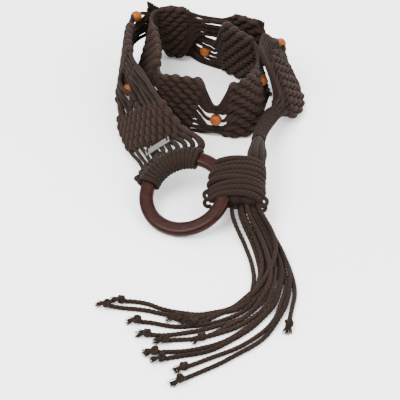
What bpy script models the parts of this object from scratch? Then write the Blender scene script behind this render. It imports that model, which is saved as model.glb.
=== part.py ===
"""Macrame tassel belt, coiled on its edge on a table, with its tail tied through a wooden ring.

Metres, +Z up, the belt stands on z = 0 and the origin is under the middle of the whole piece.
The band is a chain of leaf-shaped knotted panels. Between two panels the cords run loose and
gather in a narrow waist, and most waists carry a wooden bead. One end of the band is hitched
round the ring. The other end gathers into a whipped neck, winds round the ring in a big knot
and falls out of it as the tassel.
"""

import math
from collections import namedtuple

import bmesh
import bpy
from mathutils import Matrix, Vector

# Driving dimensions, in metres
BAND_WIDTH = 0.056
FIELD_THICKNESS = 0.0074
FLOAT_THICKNESS = 0.0038
WAIST_THICKNESS = 0.0066
SLOT_WIDTH = 0.0026
COIL_HALF_WIDTH = 0.0765
COIL_HALF_DEPTH = 0.064
RING_OUTER_DIAMETER = 0.0725
RING_FACE_WIDTH = 0.0110
RING_THICKNESS = 0.0072
RING_EDGE_RADIUS = 0.0028
HITCH_THICKNESS = 0.0031
END_FLOAT_LENGTH = 0.018
BEAD_DIAMETER = 0.0100
BEAD_HOLE_DIAMETER = 0.0036
BEAD_ROOM = 0.0013
THREAD_DIAMETER = 0.0029
NECK_CORE_DIAMETER = 0.0092
NECK_WHIPPING = 0.0029
NECK_WHIPPING_LENGTH = 0.042
KNOT_WIDTH = 0.0430
KNOT_DEPTH = 0.0290
KNOT_TURNS = 8
KNOT_TURN_PITCH = 0.0047
TASSEL_CORD_DIAMETER = 0.0033
TASSEL_KNOT_DIAMETER = 0.0072
TASSEL_LENGTH = 0.207
TASSEL_HEAD_WIDTH = 0.026
TASSEL_HEAD_DEPTH = 0.011
TAG_LENGTH = 0.0235
TAG_WIDTH = 0.0046
TAG_THICKNESS = 0.0010
TAG_HOLE_DIAMETER = 0.0013
CLEARANCE = 0.0003

# How finely the soft forms are divided
PANEL_ROW = 0.0068
PANEL_END_ROW = 0.0005
TASSEL_ROW = 0.0240
SLIVER = 0.00005

# How the ring, the neck and the knot lie, in degrees
RING_TILT = 25.0
RING_RISE_HEADING = 58.7
RING_HEADING = -68.8
HITCH_FROM, HITCH_TO = 98.0, 190.0
HITCH_WRAPS = 11
KNOT_ON_RING = 42.0
KNOT_HEADING = -96.0
KNOT_DIP = 24.0

# The band's run. x and y are shares of the coil's half width and half depth, for the middle of the
# band seen from above. lean is how far its top edge tips inward, in degrees. low and high are the
# shares of the band's width that the cords fill there.
Section = namedtuple("Section", "x y lean low high")
SECTIONS = [
    Section(-0.516, -1.664, 50, 0.07, 0.96),
    Section(-0.667, -1.344, 34, 0.02, 1.00),
    Section(-0.817, -0.859, 26, 0.00, 1.00),
    Section(-0.908, -0.508, 17, 0.00, 1.00),
    Section(-0.948, -0.094, 10, 0.00, 1.00),
    Section(-0.930, 0.375, 8, 0.00, 0.97),
    Section(-0.804, 0.840, 5, 0.00, 0.88),
    Section(-0.477, 1.030, 2, 0.00, 0.76),
    Section(-0.046, 0.690, 0, 0.00, 0.90),
    Section(0.150, 0.469, 4, 0.00, 0.98),
    Section(0.359, 0.203, 10, 0.00, 1.00),
    Section(0.535, -0.016, 12, 0.00, 1.00),
    Section(0.595, -0.250, 15, 0.00, 1.00),
    Section(0.569, -0.500, 12, 0.00, 1.00),
    Section(0.490, -0.800, 8, 0.00, 1.00),
    Section(0.359, -0.965, 2, 0.00, 1.00),
    Section(0.216, -0.985, 0, 0.00, 0.97),
    Section(0.059, -0.940, 0, 0.00, 0.97),
    Section(-0.137, -0.914, 0, 0.00, 1.00),
    Section(-0.333, -0.875, 0, 0.00, 1.00),
    Section(-0.542, -0.770, 8, 0.00, 1.00),
    Section(-0.650, -0.484, 17, 0.00, 1.00),
    Section(-0.686, -0.062, 19, 0.00, 1.00),
    Section(-0.712, 0.340, 14, 0.00, 1.00),
    Section(-0.690, 0.630, 8, 0.00, 1.00),
    Section(-0.542, 0.770, 3, 0.00, 1.00),
    Section(-0.268, 0.720, 2, 0.10, 1.00),
    Section(0.010, 0.655, 0, 0.25, 1.00),
    Section(0.281, 0.555, 1, 0.18, 1.00),
    Section(0.438, 0.475, 4, 0.06, 1.00),
    Section(0.620, 0.400, 6, 0.00, 1.00),
    Section(0.790, 0.235, 14, 0.00, 1.00),
    Section(0.845, -0.031, 25, 0.00, 1.00),
    Section(0.830, -0.344, 31, 0.00, 1.00),
    Section(0.775, -0.578, 29, 0.05, 0.92),
    Section(0.673, -0.781, 20, 0.20, 0.48),
]

# The waists. at is a place on the run, counted in sections from 1. low and high are the shares of
# the band's width that the gathered cords keep. flat is how far they stay gathered to each side,
# and ramp how far they then take to spread, as shares of the band's width. bead is the bead's
# height there, or None, and proud how far it stands out of the band, in bead diameters.
Waist = namedtuple("Waist", "at low high flat ramp bead proud")
WAISTS = {
    "ring_end": Waist(1.0, 0.07, 0.96, 0.15, 0.30, None, 0.0),
    "left_wall": Waist(4.0, 0.06, 1.00, 0.10, 0.26, 0.46, -0.2),
    "back_left": Waist(6.9, 0.36, 0.97, 0.15, 0.30, 0.76, 0.3),
    "under_crossing": Waist(9.0, 0.00, 0.47, 0.15, 0.30, 0.22, 0.0),
    "right_wall": Waist(14.0, 0.22, 0.96, 0.15, 0.30, 0.62, 0.0),
    "front": Waist(18.0, 0.03, 0.54, 0.02, 0.24, 0.28, 0.0),
    "front_left": Waist(21.5, 0.08, 0.92, 0.15, 0.30, None, 0.0),
    "inner_corner": Waist(25.0, 0.30, 0.95, 0.15, 0.30, None, 0.0),
    "over_crossing": Waist(28.0, 0.56, 0.86, 0.15, 0.30, None, 0.0),
    "back_right": Waist(32.0, 0.40, 0.92, 0.15, 0.30, 0.70, 0.3),
    "neck_end": Waist(36.0, 0.20, 0.48, 0.05, 0.22, None, 0.0),
}

# The panels, from the ring to the neck. The last four columns are the lengths of loose cord
# before and after the knotted field, at its lower and its upper edge, as shares of the band's width.
Panel = namedtuple("Panel", "start end start_low start_high end_low end_high")
PANELS = [
    Panel("ring_end", "left_wall", 0.80, 0.06, 0.12, 1.02),
    Panel("left_wall", "back_left", 0.25, 0.25, 0.25, 0.25),
    Panel("back_left", "under_crossing", 0.22, 0.22, 0.30, 0.42),
    Panel("under_crossing", "right_wall", 0.34, 0.44, 0.60, 0.60),
    Panel("right_wall", "front", 0.16, 0.16, 0.12, 0.20),
    Panel("front", "front_left", 0.40, 0.16, 0.12, 0.12),
    Panel("front_left", "inner_corner", 0.16, 0.16, 0.24, 0.30),
    Panel("inner_corner", "over_crossing", 0.18, 0.24, 0.42, 0.34),
    Panel("over_crossing", "back_right", 0.42, 0.36, 0.36, 0.32),
    Panel("back_right", "neck_end", 0.22, 0.16, 0.16, 0.44),
]
BAND_STRIPS = 4
SLOT_FROM_WAIST = 0.08

# The tassel's sweep over the table, from the knot on: heading in degrees at each share of its length
Heading = namedtuple("Heading", "share degrees")
SWEEP = [
    Heading(0.00, -92.0),
    Heading(0.06, -77.0),
    Heading(0.15, -71.0),
    Heading(0.27, -75.0),
    Heading(0.38, -86.0),
    Heading(0.48, -106.0),
    Heading(0.60, -128.0),
    Heading(0.72, -147.0),
    Heading(0.84, -163.0),
    Heading(1.00, -175.0),
]

# The tassel's cords. The columns are the sideways distance from the sweep, in tassel cord
# diameters, at the head, at a quarter, at a half, at three quarters and at the end of the sweep,
# the share of the sweep where the cord ends, and the layer it lies in. Plus is the outer side.
Strand = namedtuple("Strand", "head quarter half late end stop layer")
STRANDS = [
    Strand(-0.6, -1.2, -3.2, -6.8, -11.6, 1.13, 0.0),
    Strand(-1.5, -2.5, -4.2, -7.6, -13.2, 1.08, 0.0),
    Strand(0.3, -0.5, -2.0, -4.4, -7.6, 1.03, 1.0),
    Strand(0.9, 0.4, -1.1, -2.8, -4.5, 1.00, 0.0),
    Strand(1.2, 0.8, 0.0, -1.0, -2.0, 0.94, 1.0),
    Strand(1.4, 1.4, 0.9, 1.2, 1.3, 0.98, 0.0),
    Strand(1.8, 1.8, 1.6, 2.0, 3.2, 0.96, 1.0),
    Strand(2.4, 2.4, 2.8, 4.6, 6.6, 0.90, 0.0),
    Strand(2.9, 3.0, 4.0, 6.0, 11.0, 0.92, 1.0),
    Strand(3.1, 3.2, 5.2, 13.0, 14.0, 0.57, 0.0),
    Strand(-1.0, -1.7, -3.6, -6.6, -9.0, 0.87, 1.0),
    Strand(0.0, -0.5, -1.3, -1.7, -1.2, 0.81, 2.0),
    Strand(-3.3, -4.2, -4.6, -6.4, -8.2, 0.82, 0.0),
    Strand(2.6, 2.2, -3.9, -5.7, -6.0, 0.81, 2.0),
]

# Where the cords leave the knot, sideways from its middle, as shares of its width
NECK_ON_KNOT = 0.30
TASSEL_ON_KNOT = 0.20
TASSEL_LEAN = 1.2
TASSEL_DROP = 0.20

# Where the tag sits on the first panel: along and across it, and its turn in the panel's face
TAG_ALONG = 0.09
TAG_ACROSS = 0.48
TAG_TURN = 113.0

BROWN = (0.070, 0.050, 0.042, 1.0)


def clear_scene():
    for item in list(bpy.data.objects):
        bpy.data.objects.remove(item)


def new_collection(name):
    group = bpy.data.collections.new(name)
    bpy.context.scene.collection.children.link(group)
    return group


def material(name, colour, roughness, metallic=0.0):
    made = bpy.data.materials.new(name)
    made.use_nodes = True
    shader = made.node_tree.nodes["Principled BSDF"]
    shader.inputs["Base Color"].default_value = colour
    shader.inputs["Roughness"].default_value = roughness
    shader.inputs["Metallic"].default_value = metallic
    return made


# The band's run as smooth functions


def smooth(values, place):
    """A Catmull-Rom curve through the values, read at a place counted from 0."""
    last = len(values) - 1
    i = min(max(int(math.floor(place)), 0), last - 1)
    t = place - i
    p1, p2 = values[i], values[i + 1]
    p0 = values[i - 1] if i > 0 else 2 * p1 - p2
    p3 = values[i + 2] if i + 2 <= last else 2 * p2 - p1
    turn = 2 * p0 - 5 * p1 + 4 * p2 - p3
    bend = 3 * p1 - p0 - 3 * p2 + p3
    return 0.5 * (2 * p1 + (p2 - p0) * t + turn * t * t + bend * t * t * t)


def ease(share):
    share = min(max(share, 0.0), 1.0)
    return share * share * (3 - 2 * share)


STEPS_PER_SECTION = 24
COLUMNS = {name: [getattr(s, name) for s in SECTIONS] for name in Section._fields}


def plan(place):
    """The band's middle seen from above, at a place counted in sections from 1."""
    x = smooth(COLUMNS["x"], place - 1) * COIL_HALF_WIDTH
    y = smooth(COLUMNS["y"], place - 1) * COIL_HALF_DEPTH
    return Vector((x, y, 0))


def measure_run():
    """Running length of the band at each fine step."""
    lengths = [0.0]
    before = plan(1.0)
    for step in range(1, (len(SECTIONS) - 1) * STEPS_PER_SECTION + 1):
        here = plan(1.0 + step / STEPS_PER_SECTION)
        lengths.append(lengths[-1] + (here - before).length)
        before = here
    return lengths


RUN = measure_run()


def run_at(place):
    step = (place - 1.0) * STEPS_PER_SECTION
    i = min(int(step), len(RUN) - 2)
    return RUN[i] + (RUN[i + 1] - RUN[i]) * (step - i)


def place_at(length):
    length = min(max(length, 0.0), RUN[-1])
    low, high = 0, len(RUN) - 1
    while high - low > 1:
        middle = (low + high) // 2
        if RUN[middle] <= length:
            low = middle
        else:
            high = middle
    share = (length - RUN[low]) / (RUN[high] - RUN[low])
    return 1.0 + (low + share) / STEPS_PER_SECTION


def band_frame(length):
    """The band at a running length: its lower edge, and unit vectors along, up the band, and outward."""
    place = place_at(length)
    step = 0.02
    ahead = min(place + step, len(SECTIONS) - 0.0001)
    behind = max(place - step, 1.0)
    along = (plan(ahead) - plan(behind)).normalized()
    inward = Vector((along.y, -along.x, 0))
    lean = math.radians(max(smooth(COLUMNS["lean"], place - 1), 0))
    across = inward * math.sin(lean) + Vector((0, 0, math.cos(lean)))
    outward = Vector((0, 0, math.sin(lean))) - inward * math.cos(lean)
    low_edge = plan(place) - inward * (math.sin(lean) * BAND_WIDTH / 2)
    low_edge.z = math.sin(lean) * 0.56 * FIELD_THICKNESS
    return low_edge, along, across, outward


def band_point(length, height, out=0.0):
    low_edge, _, across, outward = band_frame(length)
    return low_edge + across * (height * BAND_WIDTH) + outward * out


def fill_at(length):
    """The lowest and highest share of the band's width that holds cords at a running length."""
    place = place_at(length)
    low = max(smooth(COLUMNS["low"], place - 1), 0)
    high = min(smooth(COLUMNS["high"], place - 1), 1)
    for waist in WAISTS.values():
        away = abs(length - run_at(waist.at)) / BAND_WIDTH
        pull = 1 - ease((away - waist.flat) / waist.ramp)
        low += (waist.low - low) * pull
        high += (waist.high - high) * pull
    return low, high


def bead_gap():
    """Half the opening that a bead sits in."""
    return BEAD_DIAMETER / 2 + BEAD_ROOM


def height_of(length, across):
    """Turns a share across the cords into a share of the band's width, parting round a bead."""
    low, high = fill_at(length)
    height = low + (high - low) * across
    near = (1 / BAND_STRIPS) + SLOT_WIDTH / 2 / BAND_WIDTH
    far = 1 - near
    for waist in WAISTS.values():
        if waist.bead is None:
            continue
        away = abs(length - run_at(waist.at))
        part = 1 - ease((away - bead_gap()) / (1.6 * bead_gap()))
        if part <= 0:
            continue
        under = waist.bead - bead_gap() / BAND_WIDTH
        over = waist.bead + bead_gap() / BAND_WIDTH
        if across < near:
            parted = low + (under - low) * across / near
        elif across > far:
            parted = over + (high - over) * (across - far) / (1 - far)
        else:
            parted = under + (over - under) * (across - near) / (far - near)
        height += (parted - height) * part
    return height


# The ring, and places measured from it


def rise_direction():
    heading = math.radians(RING_RISE_HEADING)
    tilt = math.radians(RING_TILT)
    flat = Vector((math.cos(heading), math.sin(heading), 0))
    return flat * math.cos(tilt) + Vector((0, 0, math.sin(tilt)))


def level_direction():
    heading = math.radians(RING_RISE_HEADING)
    return Vector((math.sin(heading), -math.cos(heading), 0))


def ring_centre():
    """Beyond the band's first section by the end floats, and low enough to lie on the table."""
    reach = RING_OUTER_DIAMETER / 2 + END_FLOAT_LENGTH
    heading = math.radians(RING_HEADING)
    flat = plan(1.0) + Vector((math.cos(heading), math.sin(heading), 0)) * reach
    tilt = math.radians(RING_TILT)
    corner_out = RING_OUTER_DIAMETER / 2 - RING_EDGE_RADIUS
    corner_up = RING_THICKNESS / 2 - RING_EDGE_RADIUS
    height = corner_out * math.sin(tilt) + corner_up * math.cos(tilt) + RING_EDGE_RADIUS
    return flat + Vector((0, 0, height))


def ring_point(degrees, radius):
    angle = math.radians(degrees)
    spoke = level_direction() * math.cos(angle) + rise_direction() * math.sin(angle)
    return ring_centre() + spoke * radius


def ring_matrix():
    level, rise = level_direction(), rise_direction()
    axis = level.cross(rise)
    turn = Matrix((level, rise, axis)).transposed().to_4x4()
    return Matrix.Translation(ring_centre()) @ turn


def rounded_section(width, height, radius, corner_steps=2):
    """Points of a rounded rectangle round the origin, counter-clockwise."""
    points = []
    for quarter, (sx, sy) in enumerate([(1, 1), (-1, 1), (-1, -1), (1, -1)]):
        centre = (sx * (width / 2 - radius), sy * (height / 2 - radius))
        for step in range(corner_steps + 1):
            angle = math.pi / 2 * (quarter + step / corner_steps)
            points.append(
                (
                    centre[0] + radius * math.cos(angle),
                    centre[1] + radius * math.sin(angle),
                )
            )
    return points


def knot_axis():
    """The way the cords leave the knot: towards the front and down to the table."""
    heading, dip = math.radians(KNOT_HEADING), math.radians(KNOT_DIP)
    flat = Vector((math.cos(heading), math.sin(heading), 0))
    return flat * math.cos(dip) - Vector((0, 0, math.sin(dip)))


def knot_side():
    return Vector((0, 0, 1)).cross(knot_axis()).normalized()


def knot_up():
    return knot_axis().cross(knot_side())


def knot_length():
    return KNOT_TURNS * KNOT_TURN_PITCH


def knot_centre():
    """Right of the ring's bar, so that the bar runs through the knot's left half."""
    radius = RING_OUTER_DIAMETER / 2 - RING_FACE_WIDTH / 2
    bar = ring_point(KNOT_ON_RING, radius)
    return bar + knot_side() * (0.24 * KNOT_WIDTH) - knot_up() * (0.13 * KNOT_DEPTH)


# Builders


def add_object(name, mesh, finish, group, matrix=None):
    piece = bpy.data.objects.new(name, mesh)
    group.objects.link(piece)
    mesh.materials.append(finish)
    if matrix is not None:
        piece.matrix_world = matrix
    return piece


def grid_mesh(name, rows, closed_rows=False, skip=(), weights=None):
    """An open surface through rows of points, and the weights of the points that it keeps.

    skip holds the (row, column) faces that are left out."""
    mesh = bmesh.new()
    verts = [[mesh.verts.new(point) for point in row] for row in rows]
    width = len(rows[0])
    for r in range(len(rows) - 1):
        for c in range(width if closed_rows else width - 1):
            if (r, c) in skip:
                continue
            d = (c + 1) % width
            mesh.faces.new((verts[r][c], verts[r][d], verts[r + 1][d], verts[r + 1][c]))
    flat = [vert for row in verts for vert in row]
    kept = [weight for vert, weight in zip(flat, weights or flat) if vert.link_faces]
    bmesh.ops.delete(mesh, geom=[v for v in flat if not v.link_faces], context="VERTS")
    data = bpy.data.meshes.new(name)
    mesh.to_mesh(data)
    mesh.free()
    return data, kept


def solidify(piece, thickness, offset, weights=None):
    """Turns the open surface into a wall. weights are shares of the thickness, one a vertex."""
    shell = piece.modifiers.new("wall", "SOLIDIFY")
    shell.thickness = thickness
    shell.offset = offset
    shell.use_even_offset = False
    if weights:
        group = piece.vertex_groups.new(name="wall")
        for index, weight in enumerate(weights):
            group.add([index], weight, "REPLACE")
        shell.vertex_group = "wall"


def capped_loft(name, rows):
    """A closed body through closed rows of points, with a flat cap at each end."""
    mesh = bmesh.new()
    verts = [[mesh.verts.new(point) for point in row] for row in rows]
    width = len(rows[0])
    for r in range(len(rows) - 1):
        for c in range(width):
            d = (c + 1) % width
            mesh.faces.new(
                (verts[r][c], verts[r][d], verts[r + 1][d], verts[r + 1][c])
            )
    mesh.faces.new(verts[0])
    mesh.faces.new(verts[-1])
    bmesh.ops.recalc_face_normals(mesh, faces=mesh.faces[:])
    data = bpy.data.meshes.new(name)
    mesh.to_mesh(data)
    mesh.free()
    return data


def join_solids(piece, others):
    """Unites the piece with the other objects, one after the other."""
    for index, other in enumerate(others):
        cut = piece.modifiers.new(f"union_{index}", "BOOLEAN")
        cut.operation = "UNION"
        cut.solver = "EXACT"
        cut.object = other


def turned(name, profile, steps, finish, group):
    """A profile of radius and height, top to bottom down the outer side, turned about Z."""
    mesh = bpy.data.meshes.new(name)
    count = len(profile)
    edges = [(i, (i + 1) % count) for i in range(count)]
    mesh.from_pydata([(r, 0, z) for r, z in profile], edges, [])
    piece = add_object(name, mesh, finish, group)
    screw = piece.modifiers.new("turn", "SCREW")
    screw.steps = screw.render_steps = steps
    screw.use_merge_vertices = True
    screw.merge_threshold = 0.00001
    screw.use_smooth_shade = True
    return piece


def cord_curve(name, points, radii, finish, group, roundness=1):
    """A round cord along the points, with a radius at each."""
    curve = bpy.data.curves.new(name, "CURVE")
    curve.dimensions = "3D"
    curve.bevel_depth = 1.0
    curve.bevel_resolution = roundness
    curve.use_fill_caps = True
    line = curve.splines.new("POLY")
    line.points.add(len(points) - 1)
    for knot, point, radius in zip(line.points, points, radii):
        knot.co = (*point, 1)
        knot.radius = radius
    piece = bpy.data.objects.new(name, curve)
    group.objects.link(piece)
    curve.materials.append(finish)
    return piece


def made_mesh(piece, group, sliver=0.0):
    """The same piece as a welded mesh, without the slivers that a union leaves."""
    graph = bpy.context.evaluated_depsgraph_get()
    data = bpy.data.meshes.new_from_object(piece.evaluated_get(graph))
    mesh = bmesh.new()
    mesh.from_mesh(data)
    bmesh.ops.remove_doubles(mesh, verts=mesh.verts, dist=0.00002)
    if sliver:
        bmesh.ops.triangulate(mesh, faces=mesh.faces[:])
        bmesh.ops.dissolve_degenerate(mesh, dist=sliver, edges=mesh.edges[:])
        bmesh.ops.triangulate(mesh, faces=mesh.faces[:])
    mesh.to_mesh(data)
    mesh.free()
    name, place = piece.name, piece.matrix_world.copy()
    bpy.data.objects.remove(piece)
    solid = bpy.data.objects.new(name, data)
    solid.matrix_world = place
    group.objects.link(solid)
    return solid


def hide_cutter(piece):
    piece.hide_render = True
    piece.display_type = "WIRE"


# The wooden ring and the hitches on it


def ring_profile(grow):
    """The ring's rounded section, grown by a clearance, top to bottom down the outer side."""
    width, height = RING_FACE_WIDTH + 2 * grow, RING_THICKNESS + 2 * grow
    middle = RING_OUTER_DIAMETER / 2 - RING_FACE_WIDTH / 2
    points = rounded_section(width, height, RING_EDGE_RADIUS + grow)
    return [(middle + x, y) for x, y in reversed(points)]


def make_ring(group):
    finish = material("polished_dark_wood", (0.085, 0.022, 0.014, 1), 0.22)
    ring = turned("wood_ring", ring_profile(0), 36, finish, group)
    ring.matrix_world = ring_matrix()
    return ring


def make_hitches(group):
    """Cord hitches side by side round the ring, as one scalloped sleeve."""
    level, rise = level_direction(), rise_direction()
    axis = level.cross(rise)
    middle = RING_OUTER_DIAMETER / 2 - RING_FACE_WIDTH / 2
    section = rounded_section(
        RING_FACE_WIDTH + 2 * CLEARANCE,
        RING_THICKNESS + 2 * CLEARANCE,
        RING_EDGE_RADIUS + CLEARANCE,
    )
    rows, weights = [], []
    steps = 2 * HITCH_WRAPS
    for step in range(steps + 1):
        angle = math.radians(HITCH_FROM + (HITCH_TO - HITCH_FROM) * step / steps)
        spoke = level * math.cos(angle) + rise * math.sin(angle)
        rows.append([ring_centre() + spoke * (middle + x) - axis * y for x, y in section])
        weights += [1.0 if step % 2 else 0.62] * len(section)
    finish = material("hitch_cord", BROWN, 0.9)
    mesh, kept = grid_mesh("ring_hitches", rows, closed_rows=True, weights=weights)
    sleeve = add_object("ring_hitches", mesh, finish, group)
    solidify(sleeve, HITCH_THICKNESS, 1, kept)
    return sleeve


# The band


def ring_edge(across, out):
    """Where the band's cords leave the hitches, the share across counted from the low edge."""
    degrees = HITCH_TO + (HITCH_FROM - HITCH_TO) * across
    radius = RING_OUTER_DIAMETER / 2 + HITCH_THICKNESS + 3 * CLEARANCE
    axis = level_direction().cross(rise_direction())
    return ring_point(degrees, radius) + axis * out


def band_surface(length, across, out=0.0):
    """A point of the band. A negative length lies between the ring and the band's first section."""
    if length >= 0:
        return band_point(length, height_of(length, across), out)
    share = 1 + length / END_FLOAT_LENGTH
    start = ring_edge(across, out)
    end = band_point(0, height_of(0, across), out)
    reach = (end - start).length
    leave = (start - ring_centre()).normalized() * reach
    arrive = band_frame(0)[1] * reach
    a = 2 * share**3 - 3 * share**2 + 1
    b = share**3 - 2 * share**2 + share
    c = 3 * share**2 - 2 * share**3
    d = share**3 - share**2
    return start * a + leave * b + end * c + arrive * d


def strip_lines():
    """Shares across the band where its strips begin and end."""
    half = SLOT_WIDTH / 2 / BAND_WIDTH
    lines = [0.0]
    for k in range(1, BAND_STRIPS):
        lines += [k / BAND_STRIPS - half, k / BAND_STRIPS + half]
    return lines + [1.0]


def loose_share(panel, across, at_end):
    """Length of loose cord at one end of a panel, as a share of the band's width."""
    if at_end:
        return panel.end_low + (panel.end_high - panel.end_low) * across
    return panel.start_low + (panel.start_high - panel.start_low) * across


def even_rows(start, end):
    count = max(2, round((end - start) / PANEL_ROW))
    return [start + (end - start) * i / count for i in range(count + 1)]


def panel_grid(panel):
    """Rows of points, faces left out and wall shares of one panel."""
    at_ring = panel.start == "ring_end"
    start = -END_FLOAT_LENGTH if at_ring else run_at(WAISTS[panel.start].at) + CLEARANCE / 2
    end = run_at(WAISTS[panel.end].at) - CLEARANCE / 2
    first = None if at_ring else WAISTS[panel.start].bead
    last = WAISTS[panel.end].bead
    inner_start = start + (bead_gap() if first is not None else 0)
    inner_end = end - (bead_gap() if last is not None else 0)
    places = even_rows(inner_start, inner_end)
    if first is not None:
        places = [start] + places
    if last is not None:
        places = places + [end]
    # a narrow row at each end keeps the end faces square to the bend
    inner = places[1:-1]
    places = [places[0], places[0] + PANEL_END_ROW, *inner, places[-1] - PANEL_END_ROW, places[-1]]
    lines = strip_lines()
    rows = [[band_surface(place, across) for across in lines] for place in places]
    skip = set()
    middle = range(1, len(lines) - 2)
    for r in range(len(places) - 1):
        place = (places[r] + places[r + 1]) / 2
        in_notch = place < inner_start or place > inner_end
        for c in range(len(lines) - 1):
            across = (lines[c] + lines[c + 1]) / 2
            if in_notch and c in middle:
                skip.add((r, c))
            elif c % 2 and is_open(panel, place - start, end - place, across):
                skip.add((r, c))
    weights = []
    for place in places:
        for across in lines:
            weights.append(wall_share(panel, place - start, end - place, across))
    return rows, skip, weights


def is_open(panel, from_start, to_end, across):
    """Whether the slot between two strips is open here, among the loose cords."""
    near, far = from_start / BAND_WIDTH, to_end / BAND_WIDTH
    tight = 0.02 if panel.start == "ring_end" else SLOT_FROM_WAIST
    in_start = tight < near < loose_share(panel, across, False)
    in_end = SLOT_FROM_WAIST < far < loose_share(panel, across, True)
    return in_start or in_end


def wall_share(panel, from_start, to_end, across):
    """Thickness here as a share of the field's thickness: field, loose cords or waist."""
    wall = 1.0
    for away, at_end in ((from_start, False), (to_end, True)):
        share = away / BAND_WIDTH
        loose = loose_share(panel, across, at_end)
        into_field = ease((share - loose + 0.05) / 0.10)
        into_loose = ease((share - SLOT_FROM_WAIST) / 0.08)
        waist = WAIST_THICKNESS / FIELD_THICKNESS
        floats = FLOAT_THICKNESS / FIELD_THICKNESS
        low = waist + (floats - waist) * into_loose
        wall = min(wall, low + (1 - low) * into_field)
    return wall


def make_panel(panel, index, group):
    name = f"band_panel_{index:02d}"
    rows, skip, weights = panel_grid(panel)
    mesh, kept = grid_mesh(name, rows, skip=skip, weights=weights)
    piece = add_object(name, mesh, material(f"belt_cord_{index:02d}", BROWN, 0.9), group)
    solidify(piece, FIELD_THICKNESS, 0, kept)
    return piece


# The beads and the cords that carry them


def bead_frame(waist):
    """A matrix in the bead's middle whose Z runs along its cord, and the room there along it."""
    length = run_at(waist.at)
    out = waist.proud * BEAD_DIAMETER
    ahead = band_point(length + bead_gap(), waist.bead, out)
    behind = band_point(length - bead_gap(), waist.bead, out)
    turn = (ahead - behind).to_track_quat("Z", "Y").to_matrix().to_4x4()
    return Matrix.Translation((ahead + behind) / 2) @ turn, (ahead - behind).length


def make_bead(name, waist, group):
    """A round bead drilled for its cord, its section turned about the hole."""
    radius, hole = BEAD_DIAMETER / 2, BEAD_HOLE_DIAMETER / 2
    top = math.acos(hole / radius)
    steps = 6
    profile = []
    for step in range(steps + 1):
        angle = top - 2 * top * step / steps
        profile.append((radius * math.cos(angle), radius * math.sin(angle)))
    finish = material(name + "_wood", (0.45, 0.155, 0.045, 1), 0.35)
    bead = turned(name, profile, 12, finish, group)
    bead.matrix_world = bead_frame(waist)[0]
    return bead


def make_thread(name, waist, group):
    """The stretch of cord inside a bead, from one panel to the next."""
    place, length = bead_frame(waist)
    half = length / 2 - 2 * CLEARANCE
    points = [place @ Vector((0, 0, -half)), place @ Vector((0, 0, half))]
    radius = THREAD_DIAMETER / 2
    finish = material(name + "_cord", BROWN, 0.9)
    return cord_curve(name, points, [radius, radius], finish, group, roundness=2)


def tag_frame():
    """Where the tag lies: on the highest points of the panel's face under it."""
    first = PANELS[0]
    start, end = -END_FLOAT_LENGTH, run_at(WAISTS[first.end].at)
    length = start + (end - start) * TAG_ALONG
    turn = math.radians(TAG_TURN)
    run, rise = math.cos(turn), math.sin(turn) / BAND_WIDTH

    def under(x, y):
        place = length + run * x - rise * BAND_WIDTH * y
        return band_surface(place, TAG_ACROSS + rise * x + run * y / BAND_WIDTH)

    half, wide = TAG_LENGTH / 2, TAG_WIDTH / 2
    bar = (under(half, 0) - under(-half, 0)).normalized()
    face = bar.cross(under(0, wide) - under(0, -wide)).normalized()
    if face.z < 0:
        face = -face
    side = face.cross(bar)
    middle = under(0, 0)
    stations = (-1.2, -0.6, 0, 0.6, 1.2)
    touch = [under(x * half, y * wide) for x in stations for y in (-2, 0, 2)]
    bulge = max((point - middle).dot(face) for point in touch)
    lift = bulge + FIELD_THICKNESS / 2 + CLEARANCE + TAG_THICKNESS / 2
    frame = Matrix((bar, side, face)).transposed().to_4x4()
    return Matrix.Translation(middle + face * lift) @ frame


def make_tag(group):
    """The plain metal bar sewn to the first panel, with a stitch hole at each end."""
    curve = bpy.data.curves.new("metal_tag", "CURVE")
    curve.dimensions = "2D"
    curve.fill_mode = "BOTH"
    curve.extrude = TAG_THICKNESS / 2
    outline = [(TAG_LENGTH / 2, TAG_WIDTH / 2), (-TAG_LENGTH / 2, TAG_WIDTH / 2)]
    outline += [(-x, -y) for x, y in outline]
    shapes = [outline]
    for way in (-1, 1):
        hole_x = way * (TAG_LENGTH / 2 - 1.4 * TAG_HOLE_DIAMETER)
        steps = [math.tau * k / 8 for k in range(8)]
        radius = TAG_HOLE_DIAMETER / 2
        shapes.append([(hole_x + radius * math.cos(a), radius * math.sin(a)) for a in steps])
    for shape in shapes:
        line = curve.splines.new("POLY")
        line.points.add(len(shape) - 1)
        line.use_cyclic_u = True
        for point, (x, y) in zip(line.points, shape):
            point.co = (x, y, 0, 1)
    tag = bpy.data.objects.new("metal_tag", curve)
    group.objects.link(tag)
    curve.materials.append(material("brushed_metal", (0.62, 0.60, 0.57, 1), 0.35, 1.0))
    tag.matrix_world = tag_frame()
    return tag


# The neck


def bezier(p0, p1, p2, p3, t):
    u = 1 - t
    return p0 * u**3 + p1 * (3 * u * u * t) + p2 * (3 * u * t * t) + p3 * t**3


def neck_route(steps):
    """Middle of the gathered cords, from the band's last waist to the back of the knot."""
    waist = WAISTS["neck_end"]
    length = run_at(waist.at) - CLEARANCE
    middle = (waist.low + waist.high) / 2
    start = band_point(length, middle)
    along = band_frame(length)[1]
    start = start + along * 3 * CLEARANCE
    back = knot_centre() - knot_axis() * (knot_length() / 2)
    room = neck_radius(1) * math.sin(math.radians(KNOT_DIP)) + 2 * CLEARANCE
    end = back + knot_side() * (NECK_ON_KNOT * KNOT_WIDTH) - knot_axis() * room
    reach = (end - start).length
    leave = start + along * (0.38 * reach) - Vector((0, 0, 0.03 * reach))
    arrive = end - knot_forward() * (0.30 * reach)
    return [bezier(start, leave, arrive, end, step / steps) for step in range(steps + 1)]


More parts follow.
